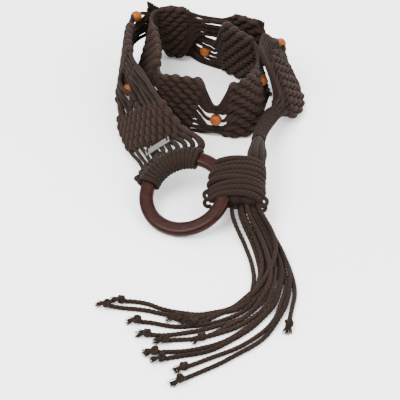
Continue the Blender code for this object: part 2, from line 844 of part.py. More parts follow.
def neck_radius(share):
    """Half the width of the gathered cords: tight under the whipping, loose at the knot."""
    tight = NECK_CORE_DIAMETER / 2
    return tight * (1 - 0.22 * ease(share / 0.5) + 0.42 * ease((share - 0.62) / 0.30))


def make_neck_cords(group):
    steps = 14
    route = neck_route(steps)
    radii = [neck_radius(step / steps) for step in range(steps + 1)]
    finish = material("neck_cord", BROWN, 0.9)
    return cord_curve("neck_cords", route, radii, finish, group, roundness=2)


def make_neck_wrap(group):
    """The whipping round the neck, as a sleeve clear of the cords inside."""
    steps = 42
    route = neck_route(steps)
    rows = []
    run = 0.0
    sides = 10
    for i, point in enumerate(route):
        if i:
            run += (point - route[i - 1]).length
        if run < 4 * CLEARANCE:
            continue
        if run > NECK_WHIPPING_LENGTH:
            break
        if len(rows) and i % 3:
            continue
        along = (route[i + 1] - route[i - 1]).normalized()
        side = along.cross(Vector((0, 0, 1))).normalized()
        top = side.cross(along)
        radius = neck_radius(i / steps) / math.cos(math.pi / 8) + CLEARANCE
        angles = [math.tau * k / sides for k in range(sides)]
        rows.append([point + (side * math.cos(a) - top * math.sin(a)) * radius for a in angles])
    mesh, _ = grid_mesh("neck_wrap", rows, closed_rows=True)
    sleeve = add_object("neck_wrap", mesh, material("whipping_cord", BROWN, 0.9), group)
    solidify(sleeve, NECK_WHIPPING, 1)
    return sleeve


# The knot on the ring and the tassel


def knot_section(bulge):
    """The knot's outline across its axis: thin round the ring's bar, full on the other side."""
    points = []
    sides = 16
    for k in range(sides):
        angle = math.tau * k / sides
        x = math.cos(angle)
        fullness = 0.86 + 0.14 * x
        if math.sin(angle) < 0:
            fullness = 0.68 + 0.30 * ease((x + 1) / 1.5)
        side = KNOT_WIDTH / 2 * bulge * math.copysign(abs(x) ** 0.85, x)
        rise = math.copysign(abs(math.sin(angle)) ** 0.8, math.sin(angle))
        up = KNOT_DEPTH / 2 * bulge * fullness * rise
        points.append((side, up))
    return points


def make_knot(group, cutters):
    """The wound knot, as one ridged body with a way through it for the ring's bar."""
    rows = []
    steps = 2 * KNOT_TURNS
    side, up, axis = knot_side(), knot_up(), knot_axis()
    for step in range(steps + 1):
        share = step / steps
        ridge = 1.0 if step % 2 else 0.955
        bulge = ridge * (1 - 0.10 * (2 * share - 1) ** 4)
        middle = knot_centre() + axis * (knot_length() * (share - 0.5))
        rows.append([middle + side * x + up * y for x, y in knot_section(bulge)])
    mesh = capped_loft("ring_knot", rows)
    knot = add_object("ring_knot", mesh, material("knot_cord", BROWN, 0.9), group)
    bare = material("knot_tunnel", BROWN, 0.9)
    tunnel = turned("ring_tunnel", ring_profile(CLEARANCE), 40, bare, cutters)
    tunnel.matrix_world = ring_matrix()
    hide_cutter(tunnel)
    cut = knot.modifiers.new("tunnel", "BOOLEAN")
    cut.operation = "DIFFERENCE"
    cut.solver = "EXACT"
    cut.object = tunnel
    return knot


def heading_at(share):
    share = min(max(share, 0.0), 1.0)
    for before, after in zip(SWEEP, SWEEP[1:]):
        if share <= after.share:
            part = (share - before.share) / (after.share - before.share)
            return before.degrees + (after.degrees - before.degrees) * part
    return SWEEP[-1].degrees


def tassel_head():
    """Where the cords leave the knot."""
    front = knot_centre() + knot_axis() * (knot_length() / 2)
    return front + knot_side() * (TASSEL_ON_KNOT * KNOT_WIDTH)


def knot_forward():
    heading = math.radians(KNOT_HEADING)
    return Vector((math.cos(heading), math.sin(heading), 0))


def head_lift():
    return tassel_head().z - TASSEL_CORD_DIAMETER / 2


def measure_sweep(steps=200):
    """Points of the sweep on the table, evenly spaced, well past its end."""
    point = tassel_head() - knot_forward() * (head_lift() * TASSEL_LEAN)
    point.z = 0
    points = [point.copy()]
    for step in range(int(steps * 1.3)):
        heading = math.radians(heading_at((step + 0.5) / steps))
        point = point + Vector((math.cos(heading), math.sin(heading), 0)) * (TASSEL_LENGTH / steps)
        points.append(point.copy())
    return points


def sweep_at(points, share, steps=200):
    place = min(max(share, 0.0) * steps, len(points) - 1.001)
    i = int(place)
    return points[i].lerp(points[i + 1], place - i)


def strand_point(points, strand, share):
    """Middle of a tassel cord at a share of the sweep."""
    columns = [strand.head, strand.quarter, strand.half, strand.late, strand.end]
    offset = smooth(columns, share * 4) * TASSEL_CORD_DIAMETER
    heading = math.radians(heading_at(share))
    outer = Vector((-math.sin(heading), math.cos(heading), 0))
    spread = ease((share - 0.30) / 0.35)
    layer = strand.layer * (1 - spread) * 0.9 * TASSEL_CORD_DIAMETER
    drop = 1 - ease(share / TASSEL_DROP)
    bundle = (strand.layer - 1) * TASSEL_HEAD_DEPTH / 4
    lift = (head_lift() + bundle - layer) * drop
    point = sweep_at(points, share) + outer * offset + knot_forward() * (lift * TASSEL_LEAN)
    point.z = TASSEL_CORD_DIAMETER / 2 + layer + lift
    return point


def make_strand(points, strand, name, finish, group):
    """One tassel cord, with its end knot and a frayed tip."""
    steps = max(4, round(strand.stop * TASSEL_LENGTH / TASSEL_ROW))
    first = 0.060
    shares = [first + (strand.stop - first) * i / steps for i in range(steps + 1)]
    route = [strand_point(points, strand, share) for share in shares]
    radius = TASSEL_CORD_DIAMETER / 2
    radii = [radius] * len(route)
    knot = TASSEL_KNOT_DIAMETER / 2
    end = route[-1]
    along = (end - route[-2])
    along.z = 0
    along.normalize()
    for ahead, size in ((0.2, 0.75), (0.9, 1.0), (1.6, 0.7), (2.0, 0.42), (3.4, 0.36)):
        route.append(end + along * (ahead * knot) + Vector((0, 0, knot * size - radius)))
        radii.append(knot * size)
    cord = cord_curve(name, route, radii, finish, group)
    return made_mesh(cord, group)


def make_tassel(group, cutters):
    """All the tassel's cords, fused to a short head under the knot's front."""
    finish = material("tassel_cord", BROWN, 0.9)
    points = measure_sweep()
    rows = []
    for step in range(5):
        share = step / 4 * TASSEL_DROP * 0.5
        middle = strand_point(points, Strand(0, -0.2, 0, 0, 0, 1, 1.0), share)
        if step == 0:
            middle = tassel_head() + knot_axis() * 2 * CLEARANCE
        heading = math.radians(heading_at(share))
        side = Vector((-math.sin(heading), math.cos(heading), 0))
        along = knot_axis().lerp(Vector((math.cos(heading), math.sin(heading), -0.5)), step / 4)
        top = along.cross(side).normalized() if step else knot_up()
        side = side if step else knot_side()
        wide = TASSEL_HEAD_WIDTH / 2 * (1 - 0.06 * step)
        deep = TASSEL_HEAD_DEPTH / 2 * (1 - 0.08 * step)
        angles = [math.tau * k / 10 for k in range(10)]
        rows.append([middle + side * (wide * math.cos(a)) + top * (deep * math.sin(a)) for a in angles])
    mesh = capped_loft("tassel", rows)
    tassel = add_object("tassel", mesh, finish, group)
    strands = []
    for index, strand in enumerate(STRANDS):
        cord = make_strand(points, strand, f"tassel_cord_{index + 1:02d}", finish, cutters)
        hide_cutter(cord)
        strands.append(cord)
    join_solids(tassel, strands)
    tassel = made_mesh(tassel, group, SLIVER)
    for cord in strands:
        bpy.data.objects.remove(cord)
    return tassel


# Assembly


def centre_on_origin(pieces, name):
    """Hangs the pieces on an empty that brings the middle of their base to the origin."""
    bpy.context.view_layer.update()
    graph = bpy.context.evaluated_depsgraph_get()
    low, high = Vector((9, 9, 9)), Vector((-9, -9, -9))
    for piece in pieces:
        seen = piece.evaluated_get(graph)
        mesh = seen.to_mesh()
        for vert in mesh.vertices:
            point = piece.matrix_world @ vert.co
            low = Vector(map(min, low, point))
            high = Vector(map(max, high, point))
        seen.to_mesh_clear()
    base = bpy.data.objects.new(name, None)
    bpy.context.scene.collection.objects.link(base)
    for piece in pieces:
        piece.parent = base
    base.location = (-(low.x + high.x) / 2, -(low.y + high.y) / 2, -low.z)


def shade(pieces):
    for piece in pieces:
        if piece.type == "MESH":
            piece.data.shade_smooth()
            piece.data.set_sharp_from_angle(angle=math.radians(50))


def main():
    clear_scene()
    group = new_collection("tassel_belt")
    cutters = new_collection("tassel_belt_cutters")
    pieces = [make_ring(group), make_hitches(group)]
    for index, panel in enumerate(PANELS):
        pieces.append(make_panel(panel, index + 1, group))
    beaded = [waist for waist in WAISTS.values() if waist.bead is not None]
    for index, waist in enumerate(beaded):
        pieces.append(make_bead(f"bead_{index + 1}", waist, group))
        pieces.append(make_thread(f"bead_thread_{index + 1}", waist, group))
    pieces.append(make_tag(group))
    pieces.append(make_neck_cords(group))
    pieces.append(make_neck_wrap(group))
    pieces.append(make_knot(group, cutters))
    pieces.append(make_tassel(group, cutters))
    shade(pieces)
    centre_on_origin(pieces + list(cutters.objects), "belt_base")


main()
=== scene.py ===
# %% [markdown]
# # A macramé belt with a ring and a tassel
# The belt is one long knotted band that stands on its edge in a loose coil. This lesson dresses
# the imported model, which is loaded first and never moved. Every cord is a real tube of mesh, so
# that the knots keep their shape from all sides. A few procedural materials give the cord, the
# wood and the metal.

# %% Load the frame
import math
from collections import namedtuple

import bpy
import numpy as np
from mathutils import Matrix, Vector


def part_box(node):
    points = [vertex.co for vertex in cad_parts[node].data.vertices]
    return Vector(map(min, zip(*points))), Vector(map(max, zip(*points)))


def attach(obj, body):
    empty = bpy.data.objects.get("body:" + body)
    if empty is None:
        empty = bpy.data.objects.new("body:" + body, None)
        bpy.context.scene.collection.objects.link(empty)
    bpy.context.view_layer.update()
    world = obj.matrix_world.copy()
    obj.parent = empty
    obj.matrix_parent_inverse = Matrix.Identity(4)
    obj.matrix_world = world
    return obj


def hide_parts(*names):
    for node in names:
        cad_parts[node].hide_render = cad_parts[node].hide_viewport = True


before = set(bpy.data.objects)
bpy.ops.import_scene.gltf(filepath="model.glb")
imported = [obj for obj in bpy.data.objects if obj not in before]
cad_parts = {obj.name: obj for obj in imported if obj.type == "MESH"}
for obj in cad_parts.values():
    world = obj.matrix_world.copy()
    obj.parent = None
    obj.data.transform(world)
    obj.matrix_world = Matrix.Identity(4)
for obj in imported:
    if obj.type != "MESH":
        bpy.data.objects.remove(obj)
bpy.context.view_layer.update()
MM = 0.001
print("nodes in the frame:", len(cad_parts))

# %% [markdown]
# ## Where things are
# The model's own frame has its origin under the middle of the whole belt. The coil is easier to
# describe from its own middle, so the lesson works there and adds one offset. The ring's box gives
# that offset, because the ring's middle is known in both frames.

# %% Sizes, in metres
BAND_WIDTH = 56 * MM
COIL_HALF_WIDTH = 76.5 * MM
COIL_HALF_DEPTH = 64 * MM
FIELD_THICKNESS = 7.4 * MM
RING_RADIUS = 36.25 * MM
RING_FACE = 11 * MM
RING_THICKNESS = 7.2 * MM
RING_EDGE = 2.8 * MM
BEAD_RADIUS = 5 * MM
BEAD_HOLE = 1.75 * MM
RING_TILT = math.radians(25)
RISE_HEADING = math.radians(58.7)
RING_HEADING = math.radians(-68.8)
END_FLOAT = 18 * MM
HITCH_FROM, HITCH_TO = 98.0, 190.0

# %% The band's run, its waists and its panels
# low and high are the shares of the band's width that the cords fill, and lean is in degrees.
Section = namedtuple("Section", "x y lean low high", defaults=(0.0, 1.0))
SECTIONS = [Section(*row) for row in [
    (-0.516, -1.664, 50, 0.07, 0.96),
    (-0.667, -1.344, 34, 0.02, 1.00),
    (-0.817, -0.859, 26),
    (-0.908, -0.508, 17),
    (-0.948, -0.094, 10),
    (-0.930, 0.375, 8, 0.00, 0.97),
    (-0.804, 0.840, 5, 0.00, 0.88),
    (-0.477, 1.030, 2, 0.00, 0.76),
    (-0.046, 0.690, 0, 0.00, 0.90),
    (0.150, 0.469, 4, 0.00, 0.98),
    (0.359, 0.203, 10),
    (0.535, -0.016, 12),
    (0.595, -0.250, 15),
    (0.569, -0.500, 12),
    (0.490, -0.800, 8),
    (0.359, -0.965, 2),
    (0.216, -0.985, 0, 0.00, 0.97),
    (0.059, -0.940, 0, 0.00, 0.97),
    (-0.137, -0.914, 0),
    (-0.333, -0.875, 0),
    (-0.542, -0.770, 8),
    (-0.650, -0.484, 17),
    (-0.686, -0.062, 19),
    (-0.712, 0.340, 14),
    (-0.690, 0.630, 8),
    (-0.542, 0.770, 3),
    (-0.268, 0.720, 2, 0.10, 1.00),
    (0.010, 0.655, 0, 0.25, 1.00),
    (0.281, 0.555, 1, 0.18, 1.00),
    (0.438, 0.475, 4, 0.06, 1.00),
    (0.620, 0.400, 6),
    (0.790, 0.235, 14),
    (0.845, -0.031, 25),
    (0.830, -0.344, 31),
    (0.775, -0.578, 29, 0.05, 0.92),
    (0.673, -0.781, 20, 0.20, 0.48),
]]

# The waists. at is a place on the run, counted in sections from 1. low and high are the shares of
# the band's width that the gathered cords keep. flat is how far they stay gathered to each side,
# and ramp how far they then take to spread, as shares of the band's width. bead is the bead's
# height there, or None, and proud how far it stands out of the band, in bead diameters.
Waist = namedtuple("Waist", "at low high bead proud flat ramp", defaults=(None, 0.0, 0.15, 0.30))
WAISTS = {name: Waist(*row) for name, row in {
    "ring_end": (1.0, 0.07, 0.96),
    "left_wall": (4.0, 0.06, 1.00, 0.46, -0.2, 0.10, 0.26),
    "back_left": (6.9, 0.36, 0.97, 0.76, 0.3),
    "under_crossing": (9.0, 0.00, 0.47, 0.22),
    "right_wall": (14.0, 0.22, 0.96, 0.62),
    "front": (18.0, 0.03, 0.54, 0.28, 0.0, 0.02, 0.24),
    "front_left": (21.5, 0.08, 0.92),
    "inner_corner": (25.0, 0.30, 0.95),
    "over_crossing": (28.0, 0.56, 0.86),
    "back_right": (32.0, 0.40, 0.92, 0.70, 0.3),
    "neck_end": (36.0, 0.20, 0.48, None, 0.0, 0.05, 0.22),
}.items()}

# The panels, from the ring to the neck. The last four columns are the lengths of loose cord
# before and after the knotted field, at its lower and upper edge, as shares of the band's width.
Panel = namedtuple("Panel", "start end start_low start_high end_low end_high")
PANELS = [Panel(*row) for row in [
    ("ring_end", "left_wall", 0.80, 0.06, 0.12, 1.02),
    ("left_wall", "back_left", 0.25, 0.25, 0.25, 0.25),
    ("back_left", "under_crossing", 0.22, 0.22, 0.30, 0.42),
    ("under_crossing", "right_wall", 0.34, 0.44, 0.60, 0.60),
    ("right_wall", "front", 0.16, 0.16, 0.12, 0.20),
    ("front", "front_left", 0.40, 0.16, 0.12, 0.12),
    ("front_left", "inner_corner", 0.16, 0.16, 0.24, 0.30),
    ("inner_corner", "over_crossing", 0.18, 0.24, 0.42, 0.34),
    ("over_crossing", "back_right", 0.42, 0.36, 0.36, 0.32),
    ("back_right", "neck_end", 0.22, 0.16, 0.16, 0.44),
]]

# The tassel's sweep, as its heading in degrees at shares of its length.
Heading = namedtuple("Heading", "share degrees")
SWEEP = [Heading(*row) for row in [
    (0.00, -92.0),
    (0.06, -77.0),
    (0.15, -71.0),
    (0.27, -75.0),
    (0.38, -86.0),
    (0.48, -106.0),
    (0.60, -128.0),
    (0.72, -147.0),
    (0.84, -163.0),
    (1.00, -175.0),
]]

# The tassel's cords. The columns are the sideways distance from the sweep, in tassel cord
# diameters, at the head, at a quarter, at a half, at three quarters and at the end of the sweep,
# the share of the sweep where the cord ends, and the layer it lies in. Plus is the outer side.
Strand = namedtuple("Strand", "head quarter half late end stop layer")
STRANDS = [Strand(*row) for row in [
    (-0.6, -1.2, -3.2, -6.8, -11.6, 1.13, 0.0),
    (-1.5, -2.5, -4.2, -7.6, -13.2, 1.08, 0.0),
    (0.3, -0.5, -2.0, -4.4, -7.6, 1.03, 1.0),
    (0.9, 0.4, -1.1, -2.8, -4.5, 1.00, 0.0),
    (1.2, 0.8, 0.0, -1.0, -2.0, 0.94, 1.0),
    (1.4, 1.4, 0.9, 1.2, 1.3, 0.98, 0.0),
    (1.8, 1.8, 1.6, 2.0, 3.2, 0.96, 1.0),
    (2.4, 2.4, 2.8, 4.6, 6.6, 0.90, 0.0),
    (2.9, 3.0, 4.0, 6.0, 11.0, 0.92, 1.0),
    (3.1, 3.2, 5.2, 13.0, 14.0, 0.57, 0.0),
    (-1.0, -1.7, -3.6, -6.6, -9.0, 0.87, 1.0),
    (0.0, -0.5, -1.3, -1.7, -1.2, 0.81, 2.0),
    (-3.3, -4.2, -4.6, -6.4, -8.2, 0.82, 0.0),
    (2.6, 2.2, -3.9, -5.7, -6.0, 0.81, 2.0),
]]

# %% [markdown]
# ## The band as a smooth path
# A Catmull-Rom curve passes through every row of the table, so a few listed rows give a soft
# line. The band is sampled once at half-millimetre steps, and numpy reads between the samples.

# %% Curve through the table
def smooth(values, place):
    """A Catmull-Rom curve through the values, read at places counted from 0."""
    values = np.asarray(values, float)
    place = np.asarray(place, float)
    last = len(values) - 1
    i = np.clip(np.floor(place).astype(int), 0, last - 1)
    t = place - i
    padded = np.concatenate([[2 * values[0] - values[1]], values, [2 * values[-1] - values[-2]]])
    p0, p1, p2, p3 = (padded[i + k] for k in range(4))
    turn = 2 * p0 - 5 * p1 + 4 * p2 - p3
    bend = 3 * p1 - p0 - 3 * p2 + p3
    return 0.5 * (2 * p1 + (p2 - p0) * t + turn * t * t + bend * t**3)


def ease(share):
    share = np.clip(share, 0.0, 1.0)
    return share * share * (3 - 2 * share)


def unit(vectors):
    return vectors / np.linalg.norm(vectors, axis=-1, keepdims=True)


COLUMNS = {name: [getattr(s, name) for s in SECTIONS] for name in Section._fields}
places = np.linspace(0, len(SECTIONS) - 1, 40 * len(SECTIONS))
plan_x = smooth(COLUMNS["x"], places) * COIL_HALF_WIDTH
plan_y = smooth(COLUMNS["y"], places) * COIL_HALF_DEPTH
steps = np.hypot(np.diff(plan_x), np.diff(plan_y))
runs = np.concatenate([[0], np.cumsum(steps)])
BAND_LENGTH = runs[-1]
print("band length in mm:", round(BAND_LENGTH / MM))

# %% Sample the band
def run_at(section):
    """Running length of a place counted in sections from 1."""
    return float(np.interp(section - 1, places, runs))


S = np.linspace(0, BAND_LENGTH, int(BAND_LENGTH / (0.5 * MM)))
place_of_s = np.interp(S, runs, places)
middle = np.stack([np.interp(S, runs, plan_x), np.interp(S, runs, plan_y), 0 * S], axis=1)
along = unit(np.gradient(middle, axis=0))
inward = np.stack([along[:, 1], -along[:, 0], 0 * S], axis=1)
lean = np.radians(np.maximum(smooth(COLUMNS["lean"], place_of_s), 0))[:, None]
UP = np.array([0.0, 0.0, 1.0])
across_dir = inward * np.sin(lean) + UP * np.cos(lean)
out_dir = UP * np.sin(lean) - inward * np.cos(lean)
low_edge = middle - inward * np.sin(lean) * BAND_WIDTH / 2
low_edge = low_edge + UP * np.sin(lean) * 0.56 * FIELD_THICKNESS


def read(table, s, stations=S):
    """Reads a table of vectors, sampled at the stations, at running lengths s."""
    return np.stack([np.interp(s, stations, table[:, k]) for k in range(3)], axis=-1)


def band_point(s, height, out=0.0):
    """A point of the band, at a share of its width and at a distance out of it."""
    height = np.asarray(height)[..., None] * BAND_WIDTH
    out = np.asarray(out)[..., None]
    return read(low_edge, s) + read(across_dir, s) * height + read(out_dir, s) * out

# %% How much of the width the cords fill
low_fill = np.maximum(smooth(COLUMNS["low"], place_of_s), 0)
high_fill = np.minimum(smooth(COLUMNS["high"], place_of_s), 1)
for waist in WAISTS.values():
    away = np.abs(S - run_at(waist.at)) / BAND_WIDTH
    pull = 1 - ease((away - waist.flat) / waist.ramp)
    low_fill += (waist.low - low_fill) * pull
    high_fill += (waist.high - high_fill) * pull

# %% [markdown]
# ## The ring's place
# The ring leans on the band's end and on the table, tilted 25 degrees. Two directions in its plane,
# one level and one rising, describe every point on it by an angle and a radius.

# %% Ring directions and the offset to the frame
flat_rise = np.array([math.cos(RISE_HEADING), math.sin(RISE_HEADING), 0])
RING_RISE = flat_rise * math.cos(RING_TILT) + UP * math.sin(RING_TILT)
RING_LEVEL = np.array([math.sin(RISE_HEADING), -math.cos(RISE_HEADING), 0])
RING_AXIS = np.cross(RING_LEVEL, RING_RISE)
reach = RING_RADIUS + END_FLOAT
corner = (RING_RADIUS - RING_EDGE) * math.sin(RING_TILT)
corner += (RING_THICKNESS / 2 - RING_EDGE) * math.cos(RING_TILT) + RING_EDGE
RING_CENTRE = np.array([plan_x[0], plan_y[0], 0])
RING_CENTRE += np.array([math.cos(RING_HEADING), math.sin(RING_HEADING), 0]) * reach + UP * corner
low, high = (np.array(c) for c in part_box("wood_ring"))
OFFSET = (low + high) / 2 - RING_CENTRE
print("offset to the frame in mm:", (OFFSET / MM).round(2))


def ring_point(degrees, radius, lift=0.0):
    angle = np.radians(np.asarray(degrees, float))[..., None]
    spoke = RING_LEVEL * np.cos(angle) + RING_RISE * np.sin(angle)
    lifted = RING_AXIS * np.asarray(lift)[..., None]
    return RING_CENTRE + spoke * np.asarray(radius)[..., None] + lifted

# %% [markdown]
# ## Camera, floor and light
# The photograph looks down at about 40 degrees with a long lens, on a plain pale ground. The long
# lens keeps the near tassel and the far coil at nearly the same scale. Three large soft lights and
# a pale world give the even light of a product picture.

# %% Camera
link = bpy.context.scene.collection.objects.link
VIEW_DOWN = math.radians(40)
VIEW_DISTANCE = 1.1
VIEW_WIDTH = 0.312
SENSOR = 36.0
AIM = OFFSET + np.array([-8.5, -144.0, 0]) * MM
camera_data = bpy.data.cameras.new("photo_camera")
camera_data.sensor_width = SENSOR
camera_data.lens = SENSOR * VIEW_DISTANCE / VIEW_WIDTH
camera = bpy.data.objects.new("photo_camera", camera_data)
camera.location = AIM + np.array([0, -math.cos(VIEW_DOWN), math.sin(VIEW_DOWN)]) * VIEW_DISTANCE
camera.rotation_euler = (math.pi / 2 - VIEW_DOWN, 0, 0)
link(camera)
bpy.context.scene.camera = camera
print("lens in mm:", round(camera_data.lens, 1))

# %% Floor and lights
def soft_light(name, place, size, power):
    data = bpy.data.lights.new(name, "AREA")
    data.size = size
    data.energy = power
    light = bpy.data.objects.new(name, data)
    light.location = place
    aim = -light.location.normalized()
    light.rotation_euler = aim.to_track_quat("-Z", "Y").to_euler()
    link(light)


floor_mesh = bpy.data.meshes.new("floor")
HALF = 6.0
corners = [(-HALF, -HALF, 0), (HALF, -HALF, 0), (HALF, HALF, 0), (-HALF, HALF, 0)]
floor_mesh.from_pydata(corners, [], [(0, 1, 2, 3)])
white = bpy.data.materials.new("white_ground")
white.use_nodes = True
ground = white.node_tree.nodes["Principled BSDF"].inputs
ground["Base Color"].default_value = (0.95, 0.95, 0.95, 1)
ground["Roughness"].default_value = 0.9
floor_mesh.materials.append(white)
floor = bpy.data.objects.new("floor", floor_mesh)
link(floor)
soft_light("key_light", (-0.55, -0.35, 1.1), 0.7, 27)
soft_light("fill_light", (0.9, -0.5, 0.8), 1.0, 16)
soft_light("back_light", (0.1, 1.1, 0.9), 0.9, 16)
world = bpy.data.worlds.new("studio")
world.use_nodes = True
sky = world.node_tree.nodes["Background"].inputs
sky["Color"].default_value = (1, 1, 1, 1)
sky["Strength"].default_value = 2.4
bpy.context.scene.world = world

# %% [markdown]
# ## Shader maths written as Python
# A material is easier to read as an expression than as a net of nodes. The small class below wraps
# one socket, so that `stitch * 0.8 + fuzz` adds its Math nodes by itself. Everything that is the same
# all over a surface is set on the shader's own socket.

# %% A socket that takes part in sums
class Wire:
    """One output socket of a material. Sums with numbers and other wires add Math nodes."""

    def __init__(self, paint, socket):
        self.paint, self.socket = paint, socket

    def maths(self, operation, other=0.0):
        settings = {"operation": operation}
        return self.paint.node("ShaderNodeMath", settings, {0: self, 1: other})

    def __add__(self, other):
        return self.maths("ADD", other)

    __radd__ = __add__

    def __sub__(self, other):
        return self.maths("SUBTRACT", other)

    def __mul__(self, other):
        return self.maths("MULTIPLY", other)

    def __pow__(self, other):
        return self.maths("POWER", other)

    def sine(self):
        return self.maths("SINE")

    def clamped(self):
        return self.maths("MAXIMUM", 0.0).maths("MINIMUM", 1.0)


class Paint:
    """A material whose nodes are added one method call at a time."""

    def __init__(self, name, **constants):
        self.material = bpy.data.materials.new(name)
        self.material.use_nodes = True
        self.tree = self.material.node_tree
        self.shader = self.tree.nodes["Principled BSDF"]
        for socket, value in constants.items():
            self.shader.inputs[socket.replace("_", " ")].default_value = value

    def feed(self, socket, value):
        if isinstance(value, Wire):
            self.tree.links.new(value.socket, socket)
        else:
            socket.default_value = value

    def node(self, kind, settings=None, sockets=None, out=0):
        made = self.tree.nodes.new(kind)
        for name, value in (settings or {}).items():
            setattr(made, name, value)
        for name, value in (sockets or {}).items():
            self.feed(made.inputs[name], value)
        return Wire(self, made.outputs[out])

    def blend(self, share, first, second):
        """A colour between two colours."""
        sockets = {"Factor": share, 6: first, 7: second}
        return self.node("ShaderNodeMix", {"data_type": "RGBA"}, sockets, out=2)

    def noise(self, place, scale, detail):
        sockets = {"Vector": place, "Scale": scale, "Detail": detail}
        return self.node("ShaderNodeTexNoise", {}, sockets)

    def bump(self, height, strength, distance):
        sockets = {"Strength": strength, "Distance": distance, "Height": height}
        self.wear(Normal=self.node("ShaderNodeBump", {}, sockets))

    def wear(self, **links):
        for socket, value in links.items():
            self.feed(self.shader.inputs[socket.replace("_", " ")], value)

# %% [markdown]
# ## The cord
# The belt's cord is a soft braided cotton. Seen close it shows slanting stitches in columns along
# its length and a little fuzz, and its grooves are painted darker as painted shade. Each tube
# carries two numbers for this: how far round it a point is, and how far along. The stitches are
# drawn from these, so that they follow every bend.

# %% Cord material
def cord_paint(name, plies, pitch, deep, light, dark):
    """Cord with slanting stitches: so many round it, repeating each pitch along it."""
    sheen = {"Sheen_Weight": 0.03, "Sheen_Roughness": 0.5}
    paint = Paint(name, Roughness=0.9, Specular_IOR_Level=0.06, **sheen)
    lay = paint.node("ShaderNodeUVMap", {"uv_map": "lay"})
    split = paint.tree.nodes.new("ShaderNodeSeparateXYZ")
    paint.feed(split.inputs[0], lay)
    around, far = Wire(paint, split.outputs[0]), Wire(paint, split.outputs[1])
    twist = far * (math.tau / pitch)
    turn = around * (math.tau * plies)
    ridge = (turn + twist).sine() * 0.5 + 0.5
    counter = (turn - twist).sine() * 0.5 + 0.5
    stitch = (ridge * 0.65 + counter * 0.35) ** 0.7
    place = paint.node("ShaderNodeTexCoord", out=3)
    fuzz, cloud = paint.noise(place, 1900.0, 3.0), paint.noise(place, 26.0, 3.0)
    # The stitches' ridges are painted lighter and their grooves darker, as painted shade; fuzz and
    # cloud are the cord's own random tone. The tone attribute holds each cord's random tone and, on
    # the band's cords, painted light on the bumps and painted shade at the joints.
    tone = paint.node("ShaderNodeAttribute", {"attribute_name": "tone"}, out=2)
    light_share = (stitch * 0.55 + fuzz * 0.30 + cloud * 0.35 + tone * 0.35 - 0.30).clamped()
    paint.wear(Base_Color=paint.blend(light_share, dark, light))
    paint.bump(stitch * 0.8 + fuzz * 0.35, 0.85, deep)
    return paint.material


CORD_LIGHT = (0.0215, 0.0122, 0.0088, 1)
CORD_DARK = (0.0030, 0.0016, 0.0011, 1)
BELT_CORD = cord_paint("braided_belt_cord", 3, 2.4 * MM, 0.35 * MM, CORD_LIGHT, CORD_DARK)
ROPE_CORD = cord_paint("laid_tassel_cord", 3, 5.2 * MM, 0.30 * MM, CORD_LIGHT, CORD_DARK)
WOUND_CORD = cord_paint("wound_cord", 4, 3.0 * MM, 0.35 * MM, CORD_LIGHT, CORD_DARK)

# %% [markdown]
# ## Tubes
# Blender's curve bevel would do for one cord, but here a tube also swells into a knot and shows the
# ridges of its plies. So each cord is a sweep in numpy: a frame is carried along the route with as
# little twist as possible, and a ring of points is set out in it at each step.

# %% Sweep a cord along its route
Tube = namedtuple("Tube", "rings far closed tone")


def square_to(direction):
    """A level direction square to another one."""
    return unit(np.cross(direction, UP if abs(direction[2]) < 0.9 else np.array([1.0, 0, 0])))


def carried_frames(points, closed):
    """Two directions across a route at each point, turned as little as possible."""
    if closed:
        tangent = unit(np.roll(points, -1, axis=0) - np.roll(points, 1, axis=0))
    else:
        tangent = unit(np.gradient(points, axis=0))
    sides = [square_to(tangent[0])]
    for t in tangent[1:]:
        sides.append(unit(sides[-1] - t * np.dot(sides[-1], t)))
    sides = np.array(sides)
    other = np.cross(tangent, sides)
    if closed:
        last = sides[-1] - tangent[0] * np.dot(sides[-1], tangent[0])
        slip = math.atan2(np.dot(last, other[0]), np.dot(last, sides[0]))
        fix = (-slip * np.arange(len(points)) / len(points))[:, None]
        turned = sides * np.cos(fix) + other * np.sin(fix)
        sides, other = turned, other * np.cos(fix) - sides * np.sin(fix)
    return sides, other


def faced_frames(points, facing):
    """Two directions across a route, the second one as near as can be to facing."""
    tangent = unit(np.gradient(points, axis=0))
    other = unit(facing - tangent * np.sum(facing * tangent, axis=1, keepdims=True))
    return np.cross(other, tangent), other


def sweep(points, radii, closed=False, plies=0, pitch=10 * MM, depth=0.12, tone=0.5, sides=10,
          thick=None, facing=None):
    """A tube along the points. With plies, its section has lobes that turn once each pitch.

    With facing, the section is an oval, and thick is its half size in that direction."""
    points = np.asarray(points, float)
    if facing is None:
        side, other = carried_frames(points, closed)
    else:
        side, other = faced_frames(points, facing)
    gaps = np.linalg.norm(np.roll(points, -1, axis=0) - points, axis=1)
    far = np.concatenate([[0], np.cumsum(gaps[:-1])])
    angle = np.arange(sides) / sides * math.tau
    radii = np.broadcast_to(radii, (len(points),))[:, None]
    if plies:
        lobes = np.cos(plies * (angle[None, :] - math.tau * far[:, None] / pitch))
        radii = radii * (1 + depth * lobes)
    rings = points[:, None, :] + side[:, None, :] * (np.cos(angle) * radii)[..., None]
    tall = radii if thick is None else np.asarray(thick)[:, None]
    rings = rings + other[:, None, :] * (np.sin(angle) * tall)[..., None]
    return Tube(rings, far, closed, tone)


def stretch_of(tube, first, last):
    tone = np.broadcast_to(tube.tone, (len(tube.rings),))[first : last + 1]
    return Tube(tube.rings[first : last + 1], tube.far[first : last + 1], False, tone)

# %% Make one piece from many tubes
def dress(piece, replaced):
    """The calls that every piece needs: a place in the scene, its body and the solids it stands for.
    """
    link(piece)
    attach(piece, "root")
    if replaced:
        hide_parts(*replaced)
    return piece


